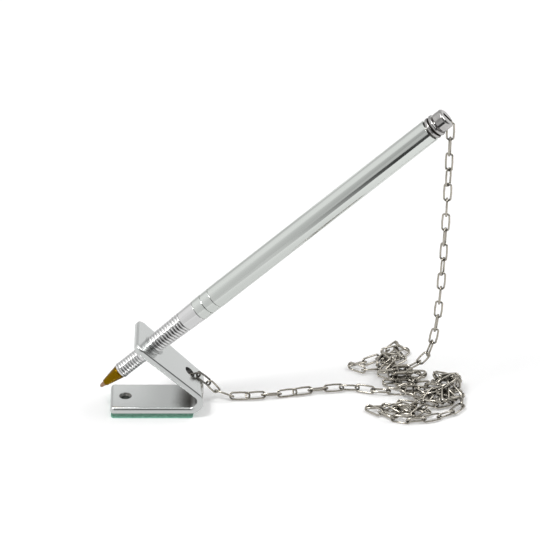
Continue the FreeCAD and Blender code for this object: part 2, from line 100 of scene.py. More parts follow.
class Bench:
    """Starts, selects, joins and finishes meshes with Blender's operators."""

    @staticmethod
    def clear() -> None:
        """Leave edit mode and deselect everything."""
        if bpy.context.object and bpy.context.object.mode != "OBJECT":
            bpy.ops.object.mode_set(mode="OBJECT")
        bpy.ops.object.select_all(action="DESELECT")

    @staticmethod
    def pick(obj: bpy.types.Object, others: Iterable[bpy.types.Object] = ()) -> None:
        """Select an object as the active one.

        Args:
            obj: the object to make active.
            others: objects selected with it.
        """
        Bench.clear()
        for other in others:
            other.select_set(True)
        obj.select_set(True)
        bpy.context.view_layer.objects.active = obj

    @staticmethod
    def select_edges(obj: bpy.types.Object, test: Callable[[Vector, Vector], bool]) -> None:
        """Go into edit mode with only the edges that pass a test selected.

        Args:
            obj: the object being edited.
            test: takes an edge's two ends and says whether the edge is wanted.
        """
        bpy.ops.object.mode_set(mode="EDIT")
        bpy.ops.mesh.select_mode(type="EDGE")
        bpy.ops.mesh.select_all(action="DESELECT")
        bpy.ops.object.mode_set(mode="OBJECT")
        points = obj.data.vertices
        for edge in obj.data.edges:
            edge.select = test(points[edge.vertices[0]].co, points[edge.vertices[1]].co)
        bpy.ops.object.mode_set(mode="EDIT")

    @staticmethod
    def select_faces(obj: bpy.types.Object, test: Callable[[Vector, Vector], bool]) -> None:
        """Go into edit mode with only the faces that pass a test selected.

        Args:
            obj: the object being edited.
            test: takes a face's centre and normal and says whether the face is wanted.
        """
        bpy.ops.object.mode_set(mode="EDIT")
        bpy.ops.mesh.select_mode(type="FACE")
        bpy.ops.mesh.select_all(action="DESELECT")
        bpy.ops.object.mode_set(mode="OBJECT")
        for face in obj.data.polygons:
            face.select = test(face.center, face.normal)
        bpy.ops.object.mode_set(mode="EDIT")

    @staticmethod
    def select_points(obj: bpy.types.Object, test: Callable[[Vector], bool]) -> None:
        """Go into edit mode with only the vertices that pass a test selected.

        Args:
            obj: the object being edited.
            test: takes a vertex's place and says whether it is wanted.
        """
        bpy.ops.object.mode_set(mode="EDIT")
        bpy.ops.mesh.select_mode(type="VERT")
        bpy.ops.mesh.select_all(action="DESELECT")
        bpy.ops.object.mode_set(mode="OBJECT")
        for point in obj.data.vertices:
            point.select = test(point.co)
        bpy.ops.object.mode_set(mode="EDIT")

    @staticmethod
    def place(obj: bpy.types.Object, matrix: Matrix) -> None:
        """Move an object and put its place into its mesh.

        Args:
            obj: the object to move.
            matrix: where it goes.
        """
        Bench.pick(obj)
        obj.matrix_world = matrix
        bpy.ops.object.transform_apply(location=True, rotation=True, scale=True)

    @staticmethod
    def close(obj: bpy.types.Object, within: float = 1e-6) -> None:
        """Merge an object's doubled points and turn its faces outwards.

        Args:
            obj: the object to mend.
            within: how near two points are to count as one.
        """
        Bench.pick(obj)
        bpy.ops.object.mode_set(mode="EDIT")
        bpy.ops.mesh.select_all(action="SELECT")
        bpy.ops.mesh.remove_doubles(threshold=within)
        bpy.ops.mesh.normals_make_consistent(inside=False)
        bpy.ops.object.mode_set(mode="OBJECT")

    @staticmethod
    def join(name: str, pieces: Sequence[bpy.types.Object]) -> bpy.types.Object:
        """Join several objects into one.

        Args:
            name: the joined object's name.
            pieces: the objects to join; the first one is kept.

        Returns:
            The joined object.
        """
        Bench.pick(pieces[0], pieces)
        bpy.ops.object.join()
        pieces[0].name = name
        return pieces[0]

    @staticmethod
    def cut(obj: bpy.types.Object, cutters: Sequence[bpy.types.Object]) -> None:
        """Cut shapes out of an object and throw the cutters away.

        Args:
            obj: the object that is cut.
            cutters: closed shapes to take away from it.
        """
        for cutter in cutters:
            Bench.pick(obj)
            step = obj.modifiers.new("cut", "BOOLEAN")
            step.operation = "DIFFERENCE"
            step.solver = "EXACT"
            step.object = cutter
            bpy.ops.object.modifier_apply(modifier=step.name)
            bpy.data.objects.remove(cutter, do_unlink=True)

    @staticmethod
    def soften(obj: bpy.types.Object, angle: float = 35.0, weighted: bool = False) -> None:
        """Shade an object smooth, with edges sharper than an angle left crisp.

        Args:
            obj: the object to shade.
            angle: the angle in degrees.
            weighted: keep large flat faces flat beside small rounded ones.
        """
        Bench.pick(obj)
        bpy.ops.object.shade_smooth_by_angle(angle=math.radians(angle))
        if weighted:
            step = obj.modifiers.new("flat_faces", "WEIGHTED_NORMAL")
            step.keep_sharp = True
            bpy.ops.object.modifier_apply(modifier=step.name)


@dataclass(frozen=True)
class Lathe:
    """Turns profiles about Z by extruding a ring of points from station to station."""

    segments: int = 96

    def turn(self, name: str, profile: Sequence[tuple[float, float]],
             bored: bool = True) -> bpy.types.Object:
        """Turn one piece.

        Args:
            name: the piece's name.
            profile: stations as (place along the axis, radius), in millimetres.
            bored: the last station joins back to the first; otherwise both ends get a flat face.

        Returns:
            The turned object, lying along Z.
        """
        stations = list(profile) + (list(profile[:1]) if bored else [])
        Bench.clear()
        bpy.ops.mesh.primitive_circle_add(vertices=self.segments, radius=stations[0][1] * MM,
                                          fill_type="NOTHING", location=(0, 0, 0))
        obj = bpy.context.object
        obj.name = name
        bpy.ops.object.mode_set(mode="EDIT")
        bpy.ops.mesh.select_all(action="SELECT")
        bpy.ops.transform.translate(value=(0, 0, stations[0][0] * MM))
        if not bored:
            bpy.ops.mesh.edge_face_add()
        for (s, r), (next_s, next_r) in zip(stations, stations[1:]):
            bpy.ops.mesh.extrude_region_move(
                TRANSFORM_OT_translate={"value": (0, 0, (next_s - s) * MM)})
            scale = next_r / r
            bpy.ops.transform.resize(value=(scale, scale, 1), center_override=(0, 0, next_s * MM))
        Bench.close(obj)
        return obj


def rounded_end(s: float, r: float, radius: float, flats: int,
                rear: bool = True) -> list[tuple[float, float]]:
    """Stations round the outer corner of a turned piece.

    Args:
        s: where the corner is, along the axis.
        r: the piece's radius there.
        radius: the corner's own radius.
        flats: how many steps go round it.
        rear: the corner is at the piece's rear end.

    Returns:
        The stations, in the order that the profile meets them.
    """
    turns = [math.pi / 2 * i / flats for i in range(flats + 1)]
    points = [(s - radius * (1 - math.sin(turn)), r - radius * (1 - math.cos(turn)))
              for turn in turns]
    return points if rear else [(2 * s - place, at) for place, at in reversed(points)]


# ---- Finishes ------------------------------------------------------------------------------------

class Nodes:
    """Short ways to add and join the nodes of one tree."""

    def __init__(self, tree: bpy.types.NodeTree) -> None:
        """Keep the tree that nodes are added to."""
        self.tree = tree

    def add(self, kind: str, **settings: object) -> bpy.types.Node:
        """Add a node.

        Args:
            kind: the node's type.
            settings: values set on the node itself.

        Returns:
            The new node.
        """
        node = self.tree.nodes.new(kind)
        for key, value in settings.items():
            setattr(node, key, value)
        return node

    def feed(self, node: bpy.types.Node, **values: object) -> bpy.types.Node:
        """Set or link a node's inputs, an underscore standing for a space in a name.

        Args:
            node: the node to feed.
            values: numbers, colours or output sockets.

        Returns:
            The same node.
        """
        for key, value in values.items():
            socket = node.inputs[key.replace("_", " ")]
            if isinstance(value, bpy.types.NodeSocket):
                self.tree.links.new(value, socket)
            else:
                socket.default_value = value
        return node

    def maths(self, operation: str, first: object, second: object = 0.0) -> bpy.types.NodeSocket:
        """Add a Math node.

        Args:
            operation: the Math node's operation.
            first: a number or a socket.
            second: a number or a socket.

        Returns:
            The result's socket.
        """
        node = self.add("ShaderNodeMath", operation=operation)
        for socket, value in zip(node.inputs, (first, second)):
            if isinstance(value, bpy.types.NodeSocket):
                self.tree.links.new(value, socket)
            else:
                socket.default_value = value
        return node.outputs[0]

    def ramp(self, value: bpy.types.NodeSocket,
             stops: Sequence[tuple[float, Sequence[float]]]) -> bpy.types.NodeSocket:
        """Add a colour ramp.

        Args:
            value: the socket that runs along the ramp.
            stops: positions from 0 to 1 with their colours.

        Returns:
            The ramp's colour socket.
        """
        node = self.add("ShaderNodeValToRGB")
        self.tree.links.new(value, node.inputs[0])
        elements = node.color_ramp.elements
        while len(elements) < len(stops):
            elements.new(1.0)
        for element, (position, colour) in zip(elements, stops):
            element.position = position
            element.color = (*colour, 1.0)
        return node.outputs[0]


def new_material(name: str) -> tuple[bpy.types.Material, Nodes]:
    """Start a material made of nodes.

    Args:
        name: the material's name.

    Returns:
        The material and its node helper.
    """
    material = bpy.data.materials.new(name)
    material.use_nodes = True
    return material, Nodes(material.node_tree)


class Effect(Enum):
    """Shader node groups that several finishes share."""

    TURNING_LINES = "turning lines"
    HANDLING = "handling marks"
    TARNISH = "tarnish"
    FOAM_CELLS = "foam cells"
    # Painted shade: darkens colour where ambient occlusion finds recesses.
    GRIME = "painted shade in corners"


class Effects:
    """Builds each shared node group once and places it in materials."""

    def __init__(self) -> None:
        """Build every group."""
        self.groups = {
            Effect.TURNING_LINES: self._turning_lines(),
            Effect.HANDLING: self._handling(),
            Effect.TARNISH: self._tarnish(),
            Effect.FOAM_CELLS: self._foam_cells(),
            Effect.GRIME: self._painted_shade(),
        }

    @staticmethod
    def _group(effect: Effect, inputs: Sequence[tuple[str, str, object]],
               outputs: Sequence[tuple[str, str]]) -> tuple[Nodes, bpy.types.Node, bpy.types.Node]:
        """Start a group.

        Args:
            effect: which effect it is.
            inputs: names, socket types and starting values.
            outputs: names and socket types.

        Returns:
            The group's node helper, its input node and its output node.
        """
        tree = bpy.data.node_groups.new(effect.value, "ShaderNodeTree")
        for name, kind, value in inputs:
            socket = tree.interface.new_socket(name=name, in_out="INPUT", socket_type=kind)
            if value is not None:
                socket.default_value = value
        for name, kind in outputs:
            tree.interface.new_socket(name=name, in_out="OUTPUT", socket_type=kind)
        nodes = Nodes(tree)
        return nodes, nodes.add("NodeGroupInput"), nodes.add("NodeGroupOutput")

    def _turning_lines(self) -> bpy.types.NodeTree:
        """Build the fine lines that a lathe or a polishing belt leaves across local Z."""
        nodes, given, out = self._group(
            Effect.TURNING_LINES,
            [("Vector", "NodeSocketVector", None), ("Lines per metre", "NodeSocketFloat", 4000.0)],
            [("Height", "NodeSocketFloat")])
        split = nodes.add("ShaderNodeSeparateXYZ")
        nodes.feed(split, Vector=given.outputs["Vector"])
        place = nodes.maths("MULTIPLY", split.outputs["Z"], given.outputs["Lines per metre"])
        noise = nodes.add("ShaderNodeTexNoise", noise_dimensions="1D")
        nodes.feed(noise, W=place, Scale=1.0, Detail=3.0, Roughness=0.6)
        nodes.feed(out, Height=noise.outputs["Fac"])
        return nodes.tree

    def _handling(self) -> bpy.types.NodeTree:
        """Build the soft smears and fine scuffs of a thing that is handled all day."""
        nodes, given, out = self._group(
            Effect.HANDLING,
            [("Vector", "NodeSocketVector", None), ("Clean", "NodeSocketFloat", 0.15),
             ("Smeared", "NodeSocketFloat", 0.3), ("Smear scale", "NodeSocketFloat", 90.0)],
            [("Roughness", "NodeSocketFloat")])
        smear = nodes.add("ShaderNodeTexNoise")
        nodes.feed(smear, Vector=given.outputs["Vector"], Scale=given.outputs["Smear scale"],
                   Detail=4.0, Roughness=0.65, Distortion=0.6)
        mask = nodes.add("ShaderNodeMapRange", interpolation_type="SMOOTHSTEP")
        nodes.feed(mask, Value=smear.outputs["Fac"], From_Min=0.42, From_Max=0.68)
        level = nodes.add("ShaderNodeMapRange")
        nodes.feed(level, Value=mask.outputs["Result"], To_Min=given.outputs["Clean"],
                   To_Max=given.outputs["Smeared"])
        nodes.feed(out, Roughness=level.outputs["Result"])
        return nodes.tree

    def _tarnish(self) -> bpy.types.NodeTree:
        """Build a slow change of colour between clean and dulled metal."""
        nodes, given, out = self._group(
            Effect.TARNISH,
            [("Vector", "NodeSocketVector", None), ("Clean", "NodeSocketColor", (1, 1, 1, 1)),
             ("Dull", "NodeSocketColor", (0.5, 0.5, 0.5, 1)),
             ("Patch scale", "NodeSocketFloat", 120.0), ("Amount", "NodeSocketFloat", 0.4)],
            [("Color", "NodeSocketColor")])
        patch = nodes.add("ShaderNodeTexNoise")
        nodes.feed(patch, Vector=given.outputs["Vector"], Scale=given.outputs["Patch scale"],
                   Detail=5.0, Roughness=0.6)
        share = nodes.maths("MULTIPLY", patch.outputs["Fac"], given.outputs["Amount"])
        mix = nodes.add("ShaderNodeMix", data_type="RGBA")
        nodes.tree.links.new(share, mix.inputs["Factor"])
        nodes.tree.links.new(given.outputs["Clean"], mix.inputs[6])
        nodes.tree.links.new(given.outputs["Dull"], mix.inputs[7])
        nodes.feed(out, Color=mix.outputs[2])
        return nodes.tree

    def _foam_cells(self) -> bpy.types.NodeTree:
        """Build the open cells on the cut edge of foam."""
        nodes, given, out = self._group(
            Effect.FOAM_CELLS,
            [("Vector", "NodeSocketVector", None), ("Cells per metre", "NodeSocketFloat", 3500.0)],
            [("Height", "NodeSocketFloat"), ("Shade", "NodeSocketFloat")])
        cells = nodes.add("ShaderNodeTexVoronoi", feature="SMOOTH_F1")
        nodes.feed(cells, Vector=given.outputs["Vector"], Scale=given.outputs["Cells per metre"])
        shade = nodes.add("ShaderNodeMapRange")
        nodes.feed(shade, Value=cells.outputs["Distance"], From_Min=0.1, From_Max=0.7)
        nodes.feed(out, Height=cells.outputs["Distance"], Shade=shade.outputs["Result"])
        return nodes.tree

    def _painted_shade(self) -> bpy.types.NodeTree:
        """Build painted shade: the colour darkens towards a dark colour, and roughens, where ambient
        occlusion finds grooves, holes and parts close together.
        """
        nodes, given, out = self._group(
            Effect.GRIME,
            [("Open", "NodeSocketFloat", 1.0), ("Color", "NodeSocketColor", (1, 1, 1, 1)),
             ("Roughness", "NodeSocketFloat", 0.1), ("Amount", "NodeSocketFloat", 0.8),
             ("Shade colour", "NodeSocketColor", (0.034, 0.028, 0.018, 1))],
            [("Color", "NodeSocketColor"), ("Roughness", "NodeSocketFloat")])
        shut = nodes.add("ShaderNodeMapRange", interpolation_type="SMOOTHSTEP")
        nodes.feed(shut, Value=given.outputs["Open"], From_Min=0.95, From_Max=0.45)
        share = nodes.maths("MULTIPLY", shut.outputs["Result"], given.outputs["Amount"])
        mix = nodes.add("ShaderNodeMix", data_type="RGBA")
        nodes.tree.links.new(share, mix.inputs["Factor"])
        nodes.tree.links.new(given.outputs["Color"], mix.inputs[6])
        nodes.tree.links.new(given.outputs["Shade colour"], mix.inputs[7])
        level = nodes.add("ShaderNodeMapRange")
        nodes.feed(level, Value=share, To_Min=given.outputs["Roughness"], To_Max=0.45)
        nodes.feed(out, Color=mix.outputs[2], Roughness=level.outputs["Result"])
        return nodes.tree

    def place(self, nodes: Nodes, effect: Effect, **values: object) -> bpy.types.Node:
        """Place a group in a material.

        Args:
            nodes: the material's node helper.
            effect: which group.
            values: the group's inputs.

        Returns:
            The group node.
        """
        node = nodes.add("ShaderNodeGroup", node_tree=self.groups[effect])
        return nodes.feed(node, **values)


class Grain(Enum):
    """Which way a metal's fine lines run."""

    ROUND_PEN = "round the pen, as turned"
    ALONG_STRIP = "along the strip, as rolled"
    NONE = "none"


@dataclass(frozen=True)
class MetalFinish:
    """A bare or plated metal."""

    name: str
    clean: tuple[float, float, float]
    dull: tuple[float, float, float]
    smooth: float = 0.12
    smeared: float = 0.25
    patch_scale: float = 120.0
    amount: float = 0.4
    grain: Grain = Grain.NONE
    lines_per_metre: float = 4000.0
    line_depth: float = 0.05
    # painted_shade: how strongly ambient occlusion darkens the colour in recesses, a painted shade;
    # corner: how far it looks.
    painted_shade: float = 0.0
    corner: float = 0.8 * MM

    def build(self, effects: Effects) -> bpy.types.Material:
        """Make the material.

        Args:
            effects: the shared node groups.

        Returns:
            The material.
        """
        material, nodes = new_material(self.name)
        shader = material.node_tree.nodes["Principled BSDF"]
        place = nodes.add("ShaderNodeTexCoord").outputs["Object"]
        tarnish = effects.place(nodes, Effect.TARNISH, Vector=place, Clean=(*self.clean, 1.0),
                                Dull=(*self.dull, 1.0), Patch_scale=self.patch_scale,
                                Amount=self.amount)
        marks = effects.place(nodes, Effect.HANDLING, Vector=place, Clean=self.smooth,
                              Smeared=self.smeared, Smear_scale=self.patch_scale * 0.7)
        colour, roughness = tarnish.outputs["Color"], marks.outputs["Roughness"]
        # Painted shade: ambient occlusion darkens the colour and roughens the surface in grooves, holes
        # and bends; film carries that painted shade.
        if self.painted_shade > 0:
            corner = nodes.add("ShaderNodeAmbientOcclusion", samples=12, only_local=True)
            nodes.feed(corner, Distance=self.corner)
            film = effects.place(nodes, Effect.GRIME, Open=corner.outputs["AO"], Color=colour,
                                 Roughness=roughness, Amount=self.painted_shade)
            colour, roughness = film.outputs["Color"], film.outputs["Roughness"]
        nodes.feed(shader, Base_Color=colour, Metallic=1.0, Roughness=roughness)
        if self.grain is not Grain.NONE:
            turn = nodes.add("ShaderNodeMapping", vector_type="POINT")
            lay = ((0.0, -PEN_LEAN, 0.0) if self.grain is Grain.ROUND_PEN
                   else (math.pi / 2, 0.0, 0.0))
            nodes.feed(turn, Vector=place, Rotation=lay)
            lines = effects.place(nodes, Effect.TURNING_LINES, Vector=turn.outputs["Vector"],
                                  Lines_per_metre=self.lines_per_metre)
            bump = nodes.add("ShaderNodeBump")
            nodes.feed(bump, Height=lines.outputs["Height"], Strength=self.line_depth,
                       Distance=0.02 * MM)
            nodes.feed(shader, Normal=bump.outputs["Normal"])
        return material


@dataclass(frozen=True)
class SoftFinish:
    """Foam or film, with a cell pattern of its own size."""

    name: str
    light: tuple[float, float, float]
    dark: tuple[float, float, float]
    roughness: float = 0.8
    cells_per_metre: float = 3500.0
    depth: float = 0.4

    def build(self, effects: Effects) -> bpy.types.Material:
        """Make the material.

        Args:
            effects: the shared node groups.

        Returns:
            The material.
        """
        material, nodes = new_material(self.name)
        shader = material.node_tree.nodes["Principled BSDF"]
        place = nodes.add("ShaderNodeTexCoord").outputs["Object"]
        cells = effects.place(nodes, Effect.FOAM_CELLS, Vector=place,
                              Cells_per_metre=self.cells_per_metre)
        tint = nodes.ramp(cells.outputs["Shade"], [(0.0, self.light), (1.0, self.dark)])
        bump = nodes.add("ShaderNodeBump")
        nodes.feed(bump, Height=cells.outputs["Height"], Strength=self.depth, Distance=0.1 * MM)
        nodes.feed(shader, Base_Color=tint, Roughness=self.roughness,
                   Normal=bump.outputs["Normal"])
        return material


@dataclass
class Finishes:
    """Every finish on the object, made once."""

    effects: Effects = field(default_factory=Effects)
    # Painted shade: with an 8 mm reach, ambient occlusion darkens the base's top near the bend and the
    # inside of the bend, in place of a dark reflection there.
    strip: MetalFinish = MetalFinish(
        "strip_steel_plated", (0.80, 0.82, 0.81), (0.62, 0.64, 0.63), smooth=0.17, smeared=0.25,
        patch_scale=60.0, amount=0.35, grain=Grain.ALONG_STRIP, lines_per_metre=9000.0,
        line_depth=0.10, painted_shade=0.9, corner=8.0 * MM)
    # Painted shade: a dark finish for the walls inside the holes, where shade falls.
    hole: MetalFinish = MetalFinish(
        "hole_wall_painted_shade", (0.34, 0.34, 0.33), (0.16, 0.16, 0.155), smooth=0.35, smeared=0.5,
        patch_scale=500.0, amount=0.8, painted_shade=0.7, corner=1.5 * MM)
    barrel: MetalFinish = MetalFinish(
        "barrel_polished", (0.83, 0.86, 0.83), (0.70, 0.74, 0.70), smooth=0.07, smeared=0.13,
        patch_scale=80.0, amount=0.35, grain=Grain.ROUND_PEN, lines_per_metre=2500.0,
        line_depth=0.04, painted_shade=0.9, corner=0.5 * MM)
    grip: MetalFinish = MetalFinish(
        "grip_chrome", (0.88, 0.88, 0.88), (0.72, 0.72, 0.72), smooth=0.05, smeared=0.12,
        patch_scale=150.0, amount=0.3, grain=Grain.ROUND_PEN, lines_per_metre=8000.0,
        line_depth=0.03, painted_shade=0.7, corner=0.35 * MM)
    # Painted shade: ambient occlusion with a 2.4 mm reach darkens the bead grooves, the slot and the
    # mouth.
    knob: MetalFinish = MetalFinish(
        "knob_chrome", (0.68, 0.67, 0.66), (0.26, 0.25, 0.24), smooth=0.07, smeared=0.15,
        patch_scale=260.0, amount=0.6, painted_shade=1.0, corner=2.4 * MM)
    # Painted shade: ambient occlusion darkens the links where they meet and inside the heap.
    chain: MetalFinish = MetalFinish(
        "chain_nickel", (0.68, 0.65, 0.59), (0.22, 0.185, 0.125), smooth=0.08, smeared=0.2,
        patch_scale=260.0, amount=0.7, painted_shade=0.97, corner=1.7 * MM)
    # Painted shade: a dark finish for the first links, which lie in the arm's hole.
    hook: MetalFinish = MetalFinish(
        "hook_nickel_painted_shade", (0.34, 0.325, 0.30), (0.10, 0.09, 0.075), smooth=0.12, smeared=0.3,
        patch_scale=320.0, amount=0.8, painted_shade=0.97, corner=1.7 * MM)
    brass: MetalFinish = MetalFinish(
        "cone_brass", (0.30, 0.17, 0.002), (0.12, 0.06, 0.001), smooth=0.2, smeared=0.32,
        patch_scale=240.0, amount=0.6, grain=Grain.ROUND_PEN, lines_per_metre=7000.0,
        line_depth=0.10)
    point: MetalFinish = MetalFinish(
        "point_copper", (0.48, 0.32, 0.22), (0.30, 0.18, 0.10), smooth=0.2, smeared=0.3,
        patch_scale=400.0, amount=0.5)
    pin: MetalFinish = MetalFinish(
        "pin_steel", (0.60, 0.59, 0.58), (0.36, 0.35, 0.34), smooth=0.2, smeared=0.35,
        patch_scale=300.0, amount=0.5)
    coupler: MetalFinish = MetalFinish(
        "coupler_brass", (0.66, 0.47, 0.18), (0.42, 0.27, 0.08), smooth=0.25, smeared=0.4,
        patch_scale=200.0, amount=0.5)
    foam: SoftFinish = SoftFinish(
        "foam_green", (0.22, 0.42, 0.32), (0.07, 0.18, 0.13), roughness=0.85,
        cells_per_metre=4200.0, depth=0.6)
    film: SoftFinish = SoftFinish(
        "film_green", (0.24, 0.55, 0.42), (0.17, 0.45, 0.33), roughness=0.35,
        cells_per_metre=900.0, depth=0.05)
    plastic: SoftFinish = SoftFinish(
        "refill_plastic", (0.78, 0.78, 0.74), (0.70, 0.70, 0.66), roughness=0.4,
        cells_per_metre=700.0, depth=0.05)
    ink: SoftFinish = SoftFinish(
        "ink_blue", (0.02, 0.03, 0.20), (0.01, 0.02, 0.10), roughness=0.3,
        cells_per_metre=500.0, depth=0.05)
    made: dict = field(default_factory=dict)

    def get(self, which: str) -> bpy.types.Material:
        """Give a finish's material, making it the first time.

        Args:
            which: the finish's field name.

        Returns:
            The material.
        """
        if which not in self.made:
            self.made[which] = getattr(self, which).build(self.effects)
        return self.made[which]

    def dress(self, obj: bpy.types.Object, which: str) -> None:
        """Put a finish on a whole object.

        Args:
            obj: the object to dress.
            which: the finish's field name.
        """
        material = self.get(which)
        if not obj.data.materials:
            obj.data.materials.append(material)
        for slot in obj.material_slots:
            slot.material = material


# ---- The holder ------------------------------------------------------------------------------------

@dataclass
class Holder:
    """One steel strip bent back over itself, with its three holes.

    The holes' radii and depths are in millimetres, as the lathe takes them, and the rest in metres.
    """

    finishes: Finishes
    thickness: float = 2.2 * MM
    width: float = 14.6 * MM
    arm_end_width: float = 17.4 * MM
    base_free: float = 4.65 * MM
    arm_length: float = 26.0 * MM
    inner_edge_r: float = 1.0 * MM
    outer_edge_r: float = 0.6 * MM
    base_corner_r: float = 1.2 * MM
    arm_corner_r: float = 2.6 * MM
    bend_steps: int = 32
    pen_hole_r: float = 2.83
    pen_mouth_r: float = 3.5
    pen_mouth_depth: float = 0.6
    chain_hole_r: float = 1.9
    screw_hole_r: float = 1.25
    screw_mouth_r: float = 1.95
    screw_mouth_depth: float = 0.7
    cutter_reach: float = 6.0
    # Painted shade reaches: round each hole, walls within these radii and depth take the dark finish.
    shade_pen_r: float = 2.95
    shade_chain_r: float = 2.0
    shade_screw_r: float = 1.9
    shade_depth: float = 3.4

    def _plate(self, name: str, length: float, far_width: float,
               corner_r: float) -> bpy.types.Object:
        """Model one flat stretch of the strip, lying back along -X from the bend.

        Its outer face is at z = 0 and its inner face below.

        Args:
            name: the stretch's name.
            length: how long it is.
            far_width: its width at the free end.
            corner_r: radius of the free end's two corners, seen from above.

        Returns:
            The plate, open at the bend's end.
        """
        Bench.clear()
        bpy.ops.mesh.primitive_cube_add(size=1, location=(-length / 2, 0, -self.thickness / 2))
        plate = bpy.context.object
        plate.name = name
        plate.scale = (length, self.width, self.thickness)
        bpy.ops.object.transform_apply(location=True, rotation=True, scale=True)
        tiny = self.thickness / 100
        Bench.select_faces(plate, lambda centre, normal: normal.x < -0.9)
        bpy.ops.transform.resize(value=(1, far_width / self.width, 1),
                                 center_override=(-length, 0, -self.thickness / 2))
        bpy.ops.object.mode_set(mode="OBJECT")
        Bench.select_edges(plate, lambda a, b: abs(a.x + length) < tiny and abs(b.x + length) < tiny
                           and abs(a.z - b.z) > tiny)
        bpy.ops.mesh.bevel(offset=corner_r, segments=7, offset_type="OFFSET", clamp_overlap=False)
        bpy.ops.object.mode_set(mode="OBJECT")
        for height, radius, steps in ((0.0, self.outer_edge_r, 4),
                                      (-self.thickness, self.inner_edge_r, 5)):
            Bench.select_edges(plate, lambda a, b: abs(a.z - height) < tiny
                               and abs(b.z - height) < tiny and not (a.x > -tiny and b.x > -tiny))
            bpy.ops.mesh.bevel(offset=radius, segments=steps, offset_type="OFFSET",
                               clamp_overlap=False)
            bpy.ops.object.mode_set(mode="OBJECT")
        Bench.select_faces(plate, lambda centre, normal: normal.x > 0.9 and centre.x > -tiny)
        bpy.ops.mesh.delete(type="FACE")
        bpy.ops.object.mode_set(mode="OBJECT")
        return plate

    def _countersunk(self, mouth_r: float, bore_r: float, depth: float) -> bpy.types.Object:
        """Model the cutter for a countersunk hole, its mouth at z = 0 and its bore below."""
        reach = self.cutter_reach
        slope = (mouth_r - bore_r) / depth
        return Lathe(72).turn("cutter", [(-reach, bore_r), (-depth, bore_r),
                                         (reach / 4, mouth_r + slope * reach / 4)], bored=False)

    def _paint_hole_shade(self, strip: bpy.types.Object) -> None:
        """Give the walls of the three punched holes a dark finish, painted shade inside the holes.

        Args:
            strip: the finished strip.
        """
        strip.data.materials.append(self.finishes.get("hole"))
        screw = Vector((0.0, 0.0, PAD_T + self.thickness))
        holes = [(screw, Vector((0.0, 0.0, 1.0)), self.shade_screw_r * MM),
                 (on_arm(PEN_HOLE_AT), PEN_ALONG, self.shade_pen_r * MM),
                 (on_arm(*CHAIN_HOLE), ARM_NORMAL, self.shade_chain_r * MM)]
        for face in strip.data.polygons:
            for place, along, reach in holes:
                offset = face.center - place
                depth = offset.dot(along)
                near = (offset - along * depth).length < reach and abs(depth) < self.shade_depth * MM
                if near and abs(face.normal.dot(along)) < 0.9:
                    face.material_index = 1

    def build(self) -> bpy.types.Object:
        """Model the strip: base, bend and fanned arm, with its three holes."""
        base_length = self.base_free + BEND_AXIS.x
        base = self._plate("holder_body", base_length, self.width, self.base_corner_r)
        Bench.place(base, Matrix.Translation((BEND_AXIS.x, 0, PAD_T))
                    @ Matrix.Rotation(math.pi, 4, "X"))
        arm = self._plate("holder_arm", self.arm_length, self.arm_end_width, self.arm_corner_r)
        Bench.place(arm, Matrix.Translation(on_arm(0)) @ ARM_TURN)
        near = 1e-5
        Bench.pick(base)
        Bench.select_points(base, lambda point: point.x > BEND_AXIS.x - near)
        bpy.ops.mesh.select_mode(type="EDGE")
        bpy.ops.mesh.spin(steps=self.bend_steps, angle=math.pi - ARM_RISE, center=BEND_AXIS,
                          axis=(0, 1, 0))
        bpy.ops.object.mode_set(mode="OBJECT")
        strip = Bench.join("holder_body", [base, arm])
        Bench.close(strip, within=0.03 * MM)
        pen_hole = self._countersunk(self.pen_mouth_r, self.pen_hole_r, self.pen_mouth_depth)
        Bench.place(pen_hole, Matrix.Translation(on_arm(PEN_HOLE_AT)) @ PEN_TURN)
        chain_hole = Lathe(48).turn("cutter", [(-self.cutter_reach, self.chain_hole_r),
                                               (self.cutter_reach, self.chain_hole_r)], bored=False)
        Bench.place(chain_hole, Matrix.Translation(on_arm(*CHAIN_HOLE)) @ ARM_TURN)
        screw_hole = self._countersunk(self.screw_mouth_r, self.screw_hole_r,
                                       self.screw_mouth_depth)
        Bench.place(screw_hole, Matrix.Translation((0, 0, PAD_T + self.thickness)))
        Bench.cut(strip, [pen_hole, chain_hole, screw_hole])
        Bench.soften(strip, 32.0, weighted=True)
        self.finishes.dress(strip, "strip")
        self._paint_hole_shade(strip)
        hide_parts("holder_strip")
        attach(strip, "holder")
        return strip


# ---- The pen ---------------------------------------------------------------------------------------

